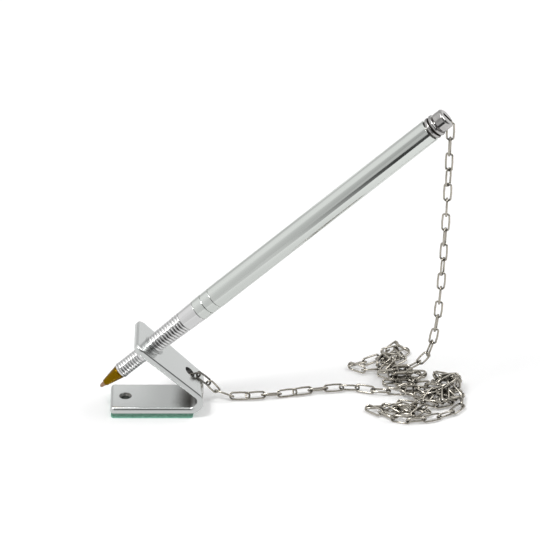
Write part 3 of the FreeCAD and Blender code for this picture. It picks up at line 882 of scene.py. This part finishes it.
@dataclass
class Pen:
    """Turned pieces of the pen, drawn along its axis from the writing tip, in millimetres."""

    finishes: Finishes
    grip_end: float = 41.2
    band_length: float = 3.28
    seat: float = 0.02
    band_r: float = 3.58
    coupler_r: float = 2.65
    barrel_r: float = 3.66
    barrel_bore_r: float = 3.1
    barrel_end: float = 135.85
    bead_length: float = 1.05
    bead_space: float = 0.45

    def lay(self, obj: bpy.types.Object, finish: str, node: str, body: str, slot: str,
            angle: float = 30.0) -> bpy.types.Object:
        """Lay a turned piece on the pen's axis, dress it and tie it to the frame.

        Args:
            obj: the piece, lying along Z.
            finish: its finish.
            node: the CAD node that it stands for.
            body: the body that it rides on.
            slot: a material slot's name; not used.
            angle: edges sharper than this stay crisp.

        Returns:
            The same piece.
        """
        Bench.place(obj, PEN_PLACE)
        Bench.soften(obj, angle, weighted=True)
        self.finishes.dress(obj, finish)
        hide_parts(node)
        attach(obj, body)
        return obj

    def _front_groove(self, start: float, r: float) -> list[tuple[float, float]]:
        """Give the stations of the narrow groove at the front of a band or of the barrel."""
        return [(start, r - 0.25), (start + 0.25, r - 0.25), (start + 0.28, r - 0.04),
                (start + 0.36, r)]

    def _ribs(self, start: float, end: float, count: int, front_r: float, rear_r: float,
              depth: float) -> list[tuple[float, float]]:
        """Give the stations of a run of rounded ribs on a taper.

        The crown's pairs are shares of a rib's pitch and of its depth below the crest.
        """
        crown = ((0.0, 1.0), (0.10, 0.45), (0.22, 0.12), (0.40, 0.0), (0.58, 0.03), (0.74, 0.2),
                 (0.86, 0.6))
        pitch = (end - start) / count
        stations = []
        for i in range(count):
            radius = front_r + (rear_r - front_r) * (i + 0.5) / count
            stations += [(start + (i + share) * pitch, radius - drop * depth)
                         for share, drop in crown]
        return stations + [(end, rear_r - depth)]

    def grip(self) -> bpy.types.Object:
        """Turn the grip: collar, fine ribs, polished neck, coarse ribs and a plain taper."""
        collar, fine, neck, coarse, taper = 8.6, 9.3, 16.95, 22.75, 35.4
        refill_r, nose_r, coupler_r = 1.45, 1.8, 2.2
        outside = [(collar, nose_r), (collar, 2.4), (8.7, 2.5), (9.2, 2.5), (fine, 2.4)]
        outside += self._ribs(fine, neck, 8, 2.48, 2.48, 0.28)
        outside += [(neck, 2.55), (coarse, 2.85)]
        outside += self._ribs(coarse, taper, 12, 3.0, 3.35, 0.34)
        outside += [(35.42, 3.26), (35.55, 3.35), (41.1, 3.5), (self.grip_end, 3.4)]
        inside = [(self.grip_end, coupler_r), (35.6, coupler_r), (35.6, refill_r), (11.9, refill_r),
                  (11.9, nose_r)]
        obj = Lathe(72).turn("grip_turned", outside + inside)
        return self.lay(obj, "grip", "grip_section", "pen", "grip_chrome", 40.0)

    def cone(self) -> bpy.types.Object:
        """Turn the brass nose, with its bore for the point."""
        profile = [(2.05, 0.9), (2.05, 1.0), (2.15, 1.06), (8.0, 2.17), (8.1, 2.12), (8.1, 2.0),
                   (8.6, 2.0), (8.6, 1.75), (11.7, 1.75), (11.7, 1.25), (4.8, 1.25), (4.8, 0.9)]
        obj = Lathe(72).turn("nose_turned", profile)
        return self.lay(obj, "brass", "nose_cone", "pen", "cone_brass")

    def band(self, index: int, node: str) -> bpy.types.Object:
        """Turn one of the two plain bands behind the grip."""
        start = self.grip_end + self.seat + index * (self.band_length + self.seat)
        end = start + self.band_length
        profile = [(start, self.coupler_r), *self._front_groove(start, self.band_r),
                   (end - 0.06, self.band_r), (end, self.band_r - 0.06), (end, self.coupler_r)]
        obj = Lathe().turn(node + "_turned", profile)
        return self.lay(obj, "barrel", node, "pen", "barrel_metal")

    def barrel(self) -> bpy.types.Object:
        """Turn the long plain barrel."""
        start = self.grip_end + self.seat + 2 * (self.band_length + self.seat)
        end, r = self.barrel_end, self.barrel_r
        profile = [(start, self.barrel_bore_r), *self._front_groove(start, r), (end - 0.1, r),
                   (end, r - 0.1), (end, self.barrel_bore_r)]
        obj = Lathe(128).turn("barrel_turned", profile)
        return self.lay(obj, "barrel", "barrel", "pen", "barrel_metal")

    def plug(self) -> bpy.types.Object:
        """Turn the end plug with its two bead rings."""
        groove_r, bead_r, bead_corner_r = 2.9, 3.6, 0.42
        s = self.barrel_end + self.seat
        profile = [(self.barrel_end - 8.3, 1.0), (self.barrel_end - 8.3, 3.05), (s, 3.05),
                   (s, groove_r)]
        for _ in range(2):
            start = s + self.bead_space
            s = start + self.bead_length
            profile.append((start, groove_r))
            profile += rounded_end(start, bead_r, bead_corner_r, 5, rear=False)
            profile += rounded_end(s, bead_r, bead_corner_r, 5)
            profile.append((s, groove_r))
        profile.append((s, 1.0))
        obj = Lathe().turn("plug_turned", profile)
        return self.lay(obj, "knob", "end_plug", "pen", "knob_chrome", 45.0)

    def build(self) -> list[bpy.types.Object]:
        """Turn every visible piece of the pen."""
        return [self.grip(), self.cone(), self.band(0, "band_front"), self.band(1, "band_rear"),
                self.barrel(), self.plug()]


@dataclass
class Swivel:
    """The knob that turns on the pen's end and carries the chain."""

    pen: Pen
    knob_r: float = 3.2
    knob_length: float = 3.3
    edge_r: float = 0.8
    slot_width: float = 1.35
    slot_depth: float = 1.35
    slot_edge_r: float = 0.12
    slot_from: float = -1.6
    throat_from: float = 1.1
    pin_out: float = 2.4
    pin_back: float = 0.62
    washer: float = 0.35
    running_gap: float = 0.04

    @property
    def start(self) -> float:
        """Face of the knob that runs on the washer, along the pen."""
        beads = 2 * (self.pen.bead_space + self.pen.bead_length)
        return self.pen.barrel_end + self.pen.seat + beads + self.washer + self.running_gap

    @property
    def pin_place(self) -> Vector:
        """Middle of the pin that carries the chain."""
        at = Vector((self.pin_out, 0.0, self.start + self.knob_length - self.pin_back)) * MM
        return PEN_PLACE @ at

    def _slot(self, low: Sequence[float], high: Sequence[float]) -> bpy.types.Object:
        """Model a box cutter between two corners."""
        Bench.clear()
        bpy.ops.mesh.primitive_cube_add(size=1)
        cutter = bpy.context.object
        low, high = Vector(low) * MM, Vector(high) * MM
        middle, size = (low + high) / 2, high - low
        Bench.place(cutter, Matrix.Translation(middle) @ Matrix.Diagonal((*size, 1.0)))
        return cutter

    def build(self) -> bpy.types.Object:
        """Turn the knob, slot it across its end and through its low side, and ease its edges."""
        start, end = self.start, self.start + self.knob_length
        profile = [(start, self.knob_r - 0.2), (start + 0.2, self.knob_r)]
        profile += rounded_end(end, self.knob_r, self.edge_r, 8)
        knob = Lathe(72).turn("knob_turned", profile, bored=False)
        half = self.slot_width / 2
        outside, over = 8.0, 2.0
        far_corner = (outside, half, end + over)
        end_slot = self._slot((self.slot_from, -half, end - self.slot_depth), far_corner)
        throat = self._slot((self.throat_from, -half, start - over), far_corner)
        bore = Lathe(32).turn("cutter", [(start - 1.0, 0.98), (start + 1.22, 0.97)], bored=False)
        Bench.cut(knob, [end_slot, throat, bore])
        Bench.pick(knob)
        ease = knob.modifiers.new("eased_slot", "BEVEL")
        ease.width = self.slot_edge_r * MM
        ease.segments = 2
        ease.limit_method = "ANGLE"
        ease.angle_limit = math.radians(50)
        bpy.ops.object.modifier_apply(modifier=ease.name)
        return self.pen.lay(knob, "knob", "swivel_knob", "swivel", "knob_chrome", 40.0)


# ---- The chain -------------------------------------------------------------------------------------

LEAD = [
    (25.2, 2.3, 8.4), (26.5, 4.0, 4.6), (28.8, 5.0, 1.75), (33.6, 2.8, 1.45), (40.0, 4.0, 1.45),
    (48.5, 4.7, 1.45), (57.5, 7.2, 1.45), (66.0, 8.6, 1.45), (71.0, 8.8, 1.45)]
HEAP = [
    # along the middle, round the right-hand side and back along the front
    (75.5, 7.2, 1.3), (79.8, 7.0, 1.3), (84.2, 5.8, 1.3), (88.4, 6.6, 1.3), (92.6, 7.0, 1.3),
    (96.6, 6.4, 1.3), (100.4, 7.6, 1.3), (103.4, 6.2, 1.3), (104.6, 2.4, 1.3), (104.4, -1.6, 1.3),
    (102.4, -4.8, 1.3), (99.0, -7.0, 1.3), (95.4, -8.8, 1.3), (92.0, -9.8, 1.3),
    (88.6, -10.4, 1.3), (84.8, -10.6, 1.3), (81.8, -8.6, 1.3), (78.8, -5.8, 1.3),
    (75.2, -5.0, 1.3),
    # the fold at the front left, several times across
    (74.2, -2.8, 1.3), (77.8, -2.2, 1.3), (81.6, -2.8, 1.3), (85.4, -4.6, 1.3), (89.0, -6.6, 1.3),
    (92.4, -8.4, 1.3), (95.8, -10.8, 1.3), (96.4, -8.2, 2.4), (93.0, -5.6, 1.3),
    (89.2, -3.8, 1.3), (85.2, -2.6, 2.2), (81.4, -2.2, 2.2), (79.4, -4.6, 1.8), (82.6, -6.8, 1.3),
    (86.6, -8.0, 1.3), (90.6, -8.6, 2.2), (93.4, -6.4, 2.4), (91.2, -2.6, 1.3), (87.6, -0.4, 1.3),
    (83.8, -0.4, 1.3), (81.0, -3.2, 2.4), (84.0, -6.0, 2.4), (88.0, -6.4, 2.6), (91.4, -3.6, 2.4),
    (94.6, -1.4, 1.3),
    # loops in front of the middle
    (98.2, -2.6, 1.3), (101.0, -0.6, 1.3), (101.0, 3.4, 1.3), (98.0, 6.0, 1.8), (93.8, 4.8, 1.3),
    (89.8, 3.6, 1.3), (86.0, 1.0, 1.3), (83.8, 3.6, 1.3), (86.4, 6.8, 2.2), (90.6, 6.2, 2.2),
    (94.0, 2.8, 1.8), (97.0, 0.0, 1.8), (99.4, 3.4, 2.4), (102.0, 6.8, 2.2), (104.2, 3.6, 2.2),
    (102.6, -0.4, 2.2), (98.6, 0.2, 2.8), (95.2, 3.0, 2.8), (91.6, 0.8, 1.8), (87.8, 2.0, 2.2),
    (85.8, 5.6, 2.8), (89.4, 8.8, 1.3), (93.6, 8.4, 1.3), (97.8, 7.0, 1.8), (100.6, 3.2, 2.2),
    (99.0, -1.2, 2.2), (95.4, -3.2, 1.8), (92.2, -0.6, 2.2), (94.2, 3.4, 3.0), (98.2, 4.4, 3.2),
    (102.2, 2.6, 2.8), (103.8, -1.0, 2.4), (101.0, -3.6, 2.2), (97.4, -1.4, 3.2),
    (98.8, 2.8, 3.8), (102.6, 5.0, 3.2), (102.8, 9.0, 1.3),
    # the arch at the back right, several times round
    (104.6, 11.6, 1.3), (102.6, 14.8, 1.3), (98.6, 15.4, 1.3), (94.8, 13.6, 1.3),
    (96.2, 10.4, 1.8), (100.2, 9.8, 2.4), (103.8, 8.0, 2.4), (102.0, 4.4, 2.8), (98.0, 6.2, 2.8),
    (95.6, 9.8, 2.6), (97.8, 13.6, 2.4), (102.0, 13.6, 2.4), (104.4, 9.8, 2.8), (101.2, 6.6, 3.2),
    (97.0, 7.4, 3.4), (93.8, 11.0, 2.4), (97.2, 12.4, 3.2), (101.4, 11.4, 3.4), (102.6, 7.2, 3.6),
    (98.6, 4.4, 3.6), (94.8, 6.8, 3.4), (91.8, 10.4, 2.2), (87.8, 9.6, 1.8), (83.8, 9.0, 1.3),
    (80.2, 10.4, 1.3),
    # the tangle in the middle
    (80.6, 13.8, 1.3), (84.6, 13.0, 1.3), (88.6, 12.0, 1.3), (92.8, 12.8, 1.3), (94.0, 16.2, 1.3),
    (90.2, 17.8, 1.3), (86.2, 16.0, 1.3), (82.4, 14.8, 1.8), (78.4, 13.4, 1.3), (75.8, 15.8, 1.3),
    (79.2, 17.8, 1.3), (83.4, 17.2, 1.8), (87.4, 14.8, 2.4), (91.0, 11.8, 2.4), (88.4, 8.6, 2.6),
    (84.4, 9.6, 2.4), (81.4, 12.6, 2.4), (83.6, 16.2, 2.4), (87.6, 18.4, 2.4), (91.6, 16.2, 2.6),
    (90.6, 12.0, 3.2), (86.4, 10.4, 3.4), (82.4, 10.4, 3.2), (80.0, 13.8, 2.4), (83.4, 17.4, 3.0),
    (87.6, 16.0, 3.8), (89.8, 12.2, 4.2), (86.4, 8.8, 3.8), (82.8, 11.0, 4.0), (82.2, 15.4, 3.8),
    (85.8, 18.6, 3.2), (82.8, 20.4, 1.3), (78.8, 19.4, 1.3),
    # the long fold at the back left
    (74.8, 19.4, 1.3), (71.0, 17.8, 1.3), (67.8, 18.4, 1.3), (68.4, 21.2, 1.3), (71.8, 22.4, 1.3),
    (75.4, 24.4, 1.3), (79.0, 26.6, 1.3), (81.8, 30.4, 1.3), (83.2, 34.0, 1.3), (86.4, 34.4, 1.8),
    (88.6, 30.6, 1.3), (85.4, 26.4, 1.3), (81.4, 25.6, 1.3), (77.6, 23.4, 1.3), (73.6, 21.6, 1.3),
    (75.4, 18.8, 1.8), (79.4, 20.8, 1.3), (83.4, 22.8, 1.3), (87.2, 25.2, 1.3), (86.4, 30.4, 2.2),
    (82.0, 29.6, 2.2), (78.2, 25.6, 2.2), (79.6, 22.2, 2.2), (83.8, 21.0, 1.8), (87.6, 19.8, 1.3),
    (87.2, 23.4, 2.4), (83.2, 25.0, 2.6), (79.2, 23.8, 2.8), (80.8, 20.0, 3.0), (84.8, 18.6, 3.4),
    (83.0, 15.4, 4.4), (79.4, 15.4, 3.6)]
HANGING = [
    (79.6, 12.1, 5.35), (84.5, 10.5, 6.3), (89.5, 8.4, 9.1), (94.0, 5.1, 15.6),
    (96.1, 2.6, 28.0), (97.3, 1.2, 44.7), (98.2, 0.5, 65.0), (98.9, 0.0, 84.0)]


@dataclass
class Chain:
    """Oval links from the arm's hole, through the heap, up to the knob's pin.

    Attributes:
        finishes: the object's finishes.
        top: where the last link meets the knob's pin.
        loose_pitch: least and greatest step from link to link on the desk.
        taut_pitch: the step where the chain hangs.
        pitch_tries: how many loose steps are tried.
        hook_out: how far out from the arm the route's first points are, in millimetres.
        hanging_above: the height from which the chain counts as hanging.
        strand_gap: what crossing strands are lifted towards, between middle lines.
        desk_clear: the least height of the middle line over the desk.
        own_strand: how many link lengths along the chain count as the same strand.
        lift_share: how much of a missing gap is made up in one round.
        sink_share: how much of a push downwards is followed.
        lift_window: how many points share a lift.
        stated_length: the cord's length in metres; not used.
        shaded_links: how many links at the arm's hole have the darker finish, painted shade in the
            hole.
        upward_look: how far a lying link's flat side turns upwards.
        blend_start: below this the chain would keep still, and the links above it stretch as the pen is
            drawn; not used.
        blend_end: above this the chain would move with the swivel; not used.
        lead_turns: the first links' turns about their own length, in degrees.
        twist_spread: how much a link's twist changes from one to the next, in radians.
        twist_links: how many such changes add up.
        still_links: over how many links below the knob the twist dies away.
        seed: starts the random twists.
    """

    finishes: Finishes
    top: Vector
    wire: float = 0.65 * MM
    link_length: float = 6.7 * MM
    link_width: float = 2.85 * MM
    loose_pitch: tuple[float, float] = (4.8 * MM, 5.2 * MM)
    taut_pitch: float = 5.35 * MM
    pitch_tries: int = 41
    hook_out: tuple[float, float] = (-3.22, 0.6)
    hanging_above: float = 14.0 * MM
    strand_gap: float = 1.5 * MM
    desk_clear: float = 1.3 * MM
    settle_rounds: int = 25
    own_strand: float = 1.6
    lift_share: float = 0.35
    sink_share: float = 0.5
    lift_window: int = 7
    twist_spread: float = 0.26
    twist_links: int = 4
    still_links: int = 4
    stated_length: float = 0.75
    shaded_links: int = 2
    upward_look: float = 0.75
    blend_start: tuple[float, float, float] = (0.095, 0.0, 0.016)
    blend_end: tuple[float, float, float] = (0.095, 0.0, 0.098)
    lead_turns: tuple[int, ...] = (60, -25, 30, 95, 8, -12, 84, 20, -8, 80, -15)
    seed: int = 11

    def _line(self) -> np.ndarray:
        """Read the smooth line through the whole route."""
        hook = [tuple(on_arm(*CHAIN_HOLE, out * MM) / MM) for out in self.hook_out]
        points = hook + LEAD + HEAP + HANGING + [tuple(self.top / MM)]
        curve = bpy.data.curves.new("chain_route", "CURVE")
        curve.dimensions = "3D"
        spline = curve.splines.new("NURBS")
        spline.points.add(len(points) - 1)
        for place, point in zip(spline.points, points):
            place.co = (*(value * MM for value in point), 1.0)
        spline.order_u = 3
        spline.use_endpoint_u = True
        spline.resolution_u = 12
        guide = bpy.data.objects.new("chain_route", curve)
        bpy.context.scene.collection.objects.link(guide)
        mesh = bpy.data.meshes.new_from_object(guide)
        line = np.array([tuple(vertex.co) for vertex in mesh.vertices])
        bpy.data.objects.remove(guide, do_unlink=True)
        bpy.data.meshes.remove(mesh)
        return line

    def _walk(self, line: np.ndarray, loose: float) -> np.ndarray:
        """Step down a line from link to link.

        Args:
            line: points close together along the chain.
            loose: the step where the chain lies on the desk.

        Returns:
            The places where one link meets the next, from the knob's pin on.
        """
        joints = [line[-1]]
        for point in line[-2::-1]:
            pitch = self.taut_pitch if joints[-1][2] > self.hanging_above else loose
            while np.linalg.norm(point - joints[-1]) >= pitch:
                step = point - joints[-1]
                joints.append(joints[-1] + step / np.linalg.norm(step) * pitch)
        return np.array(joints)

    def _joints(self, line: np.ndarray) -> np.ndarray:
        """Take the loose step that ends nearest the arm's hole, and move the last joint there."""
        tries = [self._walk(line, loose) for loose in np.linspace(*self.loose_pitch, self.pitch_tries)]
        best = min(tries, key=lambda joints: np.linalg.norm(joints[-1] - line[0]))
        best[-1] = line[0]
        return best[::-1]

    def _settle(self, line: np.ndarray) -> np.ndarray:
        """Lift crossing strands towards a set gap between their middle lines.

        The gap is less than a link's width, so links of crossing strands still cut into each other.

        Args:
            line: points along the chain as it was laid.

        Returns:
            The line with its heights settled.
        """
        settled = line.copy()
        steps = np.linalg.norm(np.diff(line, axis=0), axis=1)
        place = np.concatenate([[0.0], np.cumsum(steps)])
        low = settled[:, 2] < self.hanging_above
        apart = np.abs(place[:, None] - place[None, :]) > self.own_strand * self.link_length
        apart &= low[:, None] & low[None, :]
        for _ in range(self.settle_rounds):
            offset = settled[:, None, :] - settled[None, :, :]
            gap = np.linalg.norm(offset, axis=2)
            close = apart & (gap < self.strand_gap)
            over = np.where(offset[:, :, 2] > 0, 1.0, -1.0)
            push = np.where(close, over * (self.strand_gap - gap) * self.lift_share, 0.0)
            rise = push.max(axis=1) + np.minimum(push.min(axis=1), 0.0) * self.sink_share
            shared = np.ones(self.lift_window) / self.lift_window
            smooth = np.convolve(rise, shared, mode="same")
            settled[:, 2] = np.where(low, np.maximum(settled[:, 2] + smooth, self.desk_clear),
                                     settled[:, 2])
        return settled

    def _link(self) -> bpy.types.Object:
        """Model one oval link: a ring whose two halves are drawn apart."""
        Bench.clear()
        bpy.ops.mesh.primitive_torus_add(major_segments=16, minor_segments=8,
                                         major_radius=(self.link_width - self.wire) / 2,
                                         minor_radius=self.wire / 2)
        link = bpy.context.object
        reach = (self.link_length - self.link_width) / 2
        for side in (1, -1):
            Bench.select_points(link, lambda point: point.x * side > 1e-7)
            bpy.ops.transform.translate(value=(side * reach, 0, 0))
            bpy.ops.object.mode_set(mode="OBJECT")
        return link

    def _face(self, middle: Vector, along: Vector, index: int, twist: float) -> Vector:
        """Choose which way a link's flat side looks.

        Args:
            middle: the link's middle.
            along: the link's direction.
            index: an odd number turns the link a quarter round.
            twist: a further turn about the link's own length.

        Returns:
            The flat side's normal, at right angles to the link.
        """
        lying = min(1.0, max(0.0, (self.hanging_above * 2 - middle.z) / self.hanging_above))
        look = Vector((0.0, -1.0, self.upward_look * lying))
        flat = (look - along * look.dot(along)).normalized()
        turn = twist + (math.pi / 2 if index % 2 else 0.0)
        return Matrix.Rotation(turn, 3, along) @ flat

    def build(self) -> bpy.types.Object:
        line = self._settle(self._line())
        joints = self._joints(line)
        random = np.random.RandomState(self.seed)
        steps = random.normal(0.0, self.twist_spread, len(joints))[::-1]
        twists = np.convolve(steps, np.ones(self.twist_links), mode="same")
        link = self._link()
        self.finishes.dress(link, "chain")
        links = []
        last = len(joints) - 2
        for i, (start, end) in enumerate(zip(joints, joints[1:])):
            a, b = Vector(start), Vector(end)
            along = (b - a).normalized()
            if i < len(self.lead_turns):
                flat = self._face((a + b) / 2, along, 0, math.radians(self.lead_turns[i]))
            else:
                twist = float(twists[i]) * min(1.0, (last - i) / self.still_links)
                flat = self._face((a + b) / 2, along, last - i, twist)
            across = flat.cross(along)
            copy = link.copy()
            copy.data = link.data.copy()
            bpy.context.scene.collection.objects.link(copy)
            # Painted shade: the links in the arm's hole take the dark finish.
            if i < self.shaded_links:
                self.finishes.dress(copy, "hook")
            turn = Matrix((along, across, flat)).transposed().to_4x4()
            copy.data.transform(Matrix.Translation((a + b) / 2) @ turn)
            links.append(copy)
        bpy.data.objects.remove(link, do_unlink=True)
        chain = Bench.join("chain_links", links)
        Bench.soften(chain, 80.0)
        LOG.info("chain: %d links, %.1f mm", len(links), np.linalg.norm(
            np.diff(joints, axis=0), axis=1).sum() / MM)
        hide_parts("chain_lead", "chain_heap", "chain_hanging")
        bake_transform(chain)
        return chain


# ---- The studio --------------------------------------------------------------------------------------

@dataclass(frozen=True)
class Glow:
    """A soft bright or dark region of the room, seen in polished metal.

    Attributes:
        towards: the direction of its middle.
        edge: how near, as a cosine, a direction is to the middle where the region starts.
        level: what it adds to the room's brightness at its middle.
    """

    towards: tuple[float, float, float]
    edge: float
    level: float


@dataclass
class Studio:
    """Camera, floor, world, lamps and reflector cards."""

    target: Vector = field(default_factory=lambda: Vector((47.81, 0.0, 45.52)) * MM)
    elevation: float = math.radians(31.0)
    distance: float = 1.8
    lens: float = 378.4
    floor_half: float = 1.5
    floor_lift: float = 0.14
    shadow_span: tuple[float, float] = (0.05, 0.16)
    shadow_levels: tuple[float, float] = (0.72, 0.86)
    room: float = 0.53
    soft_light: float = 0.55
    glows: tuple[Glow, ...] = (
        Glow((-0.88, 0.13, 0.46), 0.72, 0.28),
        Glow((-0.1, 0.1, 1.0), 0.86, 1.05),
        Glow((0.51, 0.86, 0.02), 0.80, 0.20),
        Glow((0.21, -0.83, 0.55), 0.61, -0.38),
        Glow((0.90, -0.20, 0.40), 0.75, -0.45),
    )

    def camera(self) -> None:
        """Set the camera up."""
        data = bpy.data.cameras.new("camera")
        data.lens = self.lens
        data.sensor_width = 36.0
        data.clip_start = 0.01
        data.clip_end = 20.0
        camera = bpy.data.objects.new("camera", data)
        bpy.context.scene.collection.objects.link(camera)
        back = Vector((0.0, -math.cos(self.elevation), math.sin(self.elevation)))
        camera.location = self.target + back * self.distance
        camera.rotation_euler = (math.pi / 2 - self.elevation, 0.0, 0.0)
        bpy.context.scene.camera = camera

    def floor(self) -> None:
        """Lay the pale floor: white to the camera; in reflections it glows, with a painted shadow
        darker near the object.
        """
        Bench.clear()
        bpy.ops.mesh.primitive_plane_add(size=2 * self.floor_half, location=(0.05, 0.0, 0.0))
        floor = bpy.context.object
        floor.name = "floor"
        bpy.ops.object.transform_apply(location=True, rotation=True, scale=True)
        material, nodes = new_material("floor_white")
        tree = nodes.tree
        shader = tree.nodes["Principled BSDF"]
        nodes.feed(shader, Base_Color=(0.9, 0.9, 0.9, 1.0), Roughness=0.9,
                   **{"Specular IOR Level": 0.0, "Emission Color": (1.0, 1.0, 1.0, 1.0)})
        path = nodes.add("ShaderNodeLightPath")
        tree.links.new(nodes.maths("MULTIPLY", path.outputs["Is Camera Ray"], self.floor_lift),
                       shader.inputs["Emission Strength"])
        place = nodes.add("ShaderNodeTexCoord").outputs["Object"]
        reach = nodes.add("ShaderNodeVectorMath", operation="LENGTH")
        tree.links.new(place, reach.inputs[0])
        # Painted shadow: in reflections the floor glows darker near the object.
        shadow_ring = nodes.add("ShaderNodeMapRange", interpolation_type="SMOOTHSTEP")
        nodes.feed(shadow_ring, Value=reach.outputs["Value"], From_Min=self.shadow_span[0],
                   From_Max=self.shadow_span[1], To_Min=self.shadow_levels[0],
                   To_Max=self.shadow_levels[1])
        mirrored = nodes.add("ShaderNodeEmission")
        tree.links.new(shadow_ring.outputs["Result"], mirrored.inputs["Strength"])
        choice = nodes.add("ShaderNodeMixShader")
        unseen = nodes.maths("MAXIMUM", path.outputs["Is Glossy Ray"],
                             path.outputs["Is Transmission Ray"])
        tree.links.new(unseen, choice.inputs[0])
        tree.links.new(shader.outputs[0], choice.inputs[1])
        tree.links.new(mirrored.outputs[0], choice.inputs[2])
        tree.links.new(choice.outputs[0], tree.nodes["Material Output"].inputs["Surface"])
        floor.data.materials.append(material)

    def card(self, name: str, corners: Sequence[Sequence[float]], near: float, far: float,
             towards: Sequence[float], span: tuple[float, float]) -> None:
        """Stand a plain card near the object, seen only in its reflections.

        Args:
            name: the card's name.
            corners: its four corners, in millimetres.
            near: its brightness where the shading starts.
            far: its brightness where the shading ends.
            towards: the direction that the shading runs in.
            span: where the shading starts and ends along that direction, in millimetres.
        """
        Bench.clear()
        bpy.ops.mesh.primitive_plane_add(size=1)
        card = bpy.context.object
        card.name = name
        order = (0, 1, 3, 2)
        for point, corner in zip(card.data.vertices, (corners[i] for i in order)):
            point.co = Vector(corner) * MM
        material, nodes = new_material(name)
        tree = nodes.tree
        tree.nodes.remove(tree.nodes["Principled BSDF"])
        along = nodes.add("ShaderNodeVectorMath", operation="DOT_PRODUCT")
        tree.links.new(nodes.add("ShaderNodeTexCoord").outputs["Object"], along.inputs[0])
        along.inputs[1].default_value = towards
        shade = nodes.add("ShaderNodeMapRange")
        nodes.feed(shade, Value=along.outputs["Value"], From_Min=span[0] * MM,
                   From_Max=span[1] * MM, To_Min=near, To_Max=far)
        glow = nodes.add("ShaderNodeEmission")
        tree.links.new(shade.outputs["Result"], glow.inputs["Strength"])
        tree.links.new(glow.outputs[0], tree.nodes["Material Output"].inputs["Surface"])
        card.data.materials.append(material)
        card.visible_camera = card.visible_diffuse = card.visible_shadow = False
        card.visible_transmission = False

    def world(self) -> None:
        """Make the room: white to the camera, plain grey with soft glows in reflections."""
        world = bpy.data.worlds.new("room")
        bpy.context.scene.world = world
        world.use_nodes = True
        tree = world.node_tree
        nodes = Nodes(tree)
        background = tree.nodes["Background"]
        background.inputs["Color"].default_value = (1.0, 1.0, 1.0, 1.0)
        direction = nodes.add("ShaderNodeTexCoord").outputs["Generated"]
        level = self.room
        for glow in self.glows:
            near = nodes.add("ShaderNodeVectorMath", operation="DOT_PRODUCT")
            tree.links.new(direction, near.inputs[0])
            near.inputs[1].default_value = Vector(glow.towards).normalized()
            shape = nodes.add("ShaderNodeMapRange", interpolation_type="SMOOTHSTEP")
            nodes.feed(shape, Value=near.outputs["Value"], From_Min=glow.edge, From_Max=1.0,
                       To_Max=glow.level)
            level = nodes.maths("ADD", shape.outputs["Result"], level)
        path = nodes.add("ShaderNodeLightPath")
        seen = nodes.add("ShaderNodeMix", data_type="FLOAT")
        tree.links.new(path.outputs["Is Camera Ray"], seen.inputs[0])
        tree.links.new(level, seen.inputs[2])
        seen.inputs[3].default_value = 1.0
        soft = nodes.add("ShaderNodeMix", data_type="FLOAT")
        tree.links.new(path.outputs["Is Diffuse Ray"], soft.inputs[0])
        tree.links.new(seen.outputs[0], soft.inputs[2])
        soft.inputs[3].default_value = self.soft_light
        tree.links.new(soft.outputs[0], background.inputs["Strength"])

    def lamp(self, name: str, place: Sequence[float], size: float, power: float) -> None:
        """Hang one soft square lamp that looks at the object.

        Args:
            name: the lamp's name.
            place: where it hangs.
            size: the length of its side.
            power: its power.
        """
        data = bpy.data.lights.new(name, "AREA")
        data.shape = "SQUARE"
        data.size = size
        data.energy = power
        lamp = bpy.data.objects.new(name, data)
        bpy.context.scene.collection.objects.link(lamp)
        lamp.location = place
        lamp.rotation_euler = (self.target - Vector(place)).to_track_quat("-Z", "Y").to_euler()

    def build(self) -> None:
        """Set up everything round the object."""
        self.camera()
        self.floor()
        self.world()
        self.lamp("key", (-0.35, -0.3, 1.0), size=0.3, power=5.0)
        self.lamp("fill", (0.7, 0.1, 0.8), size=0.5, power=2.6)
        self.card("table_card", [(60, -122, 0.4), (-900, -122, 0.4), (-900, -860, 0.4),
                                 (311, -860, 0.4)],
                  near=0.62, far=0.05, towards=(0.90, -0.44, 0.0), span=(92, 152))
        self.card("far_card", [(311, -861, 0.4), (-900, -861, 0.4), (-900, -1500, 0.4),
                               (529, -1500, 0.4)],
                  near=0.44, far=0.42, towards=(0.0, -1.0, 0.0), span=(860, 1500))
        self.card("front_card", [(-500, -150, 0), (-25, -150, 0), (-25, -150, 260),
                                 (-500, -150, 260)],
                  near=0.74, far=0.42, towards=(1.0, 0.0, 1.0), span=(-100, 100))
        self.card("back_card", [(-40, 150, 80), (3, 150, 80), (3, 150, 108), (-40, 150, 108)],
                  near=1.0, far=0.7, towards=(0.0, 0.0, 1.0), span=(88, 98))
        bpy.context.scene.view_settings.view_transform = "Standard"


CAD_FINISHES = {
    "foam_pad": "foam", "release_liner": "film", "stop_pin": "pin", "eye_pin": "pin",
    "swivel_rivet": "pin", "swivel_washer": "knob", "coupler": "coupler",
    "ball_housing": "point", "writing_ball": "pin", "refill_tube": "plastic",
    "ink_column": "ink", "refill_cap": "plastic"}


def main() -> None:
    """Build the visual model round the frame and report each piece."""
    logging.basicConfig(level=logging.INFO, format="%(name)s: %(message)s")
    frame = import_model()
    finishes = Finishes()
    studio = Studio()
    studio.build()
    pen = Pen(finishes)
    swivel = Swivel(pen)
    chain = Chain(finishes, swivel.pin_place)
    pieces = [chain.build(), Holder(finishes).build(), *pen.build(), swivel.build()]
    for node, which in CAD_FINISHES.items():
        finishes.dress(frame["nodes"][node], which)
    for piece in pieces:
        LOG.info("%s: %d faces", piece.name, len(piece.data.polygons))


if __name__ == "__main__":
    main()
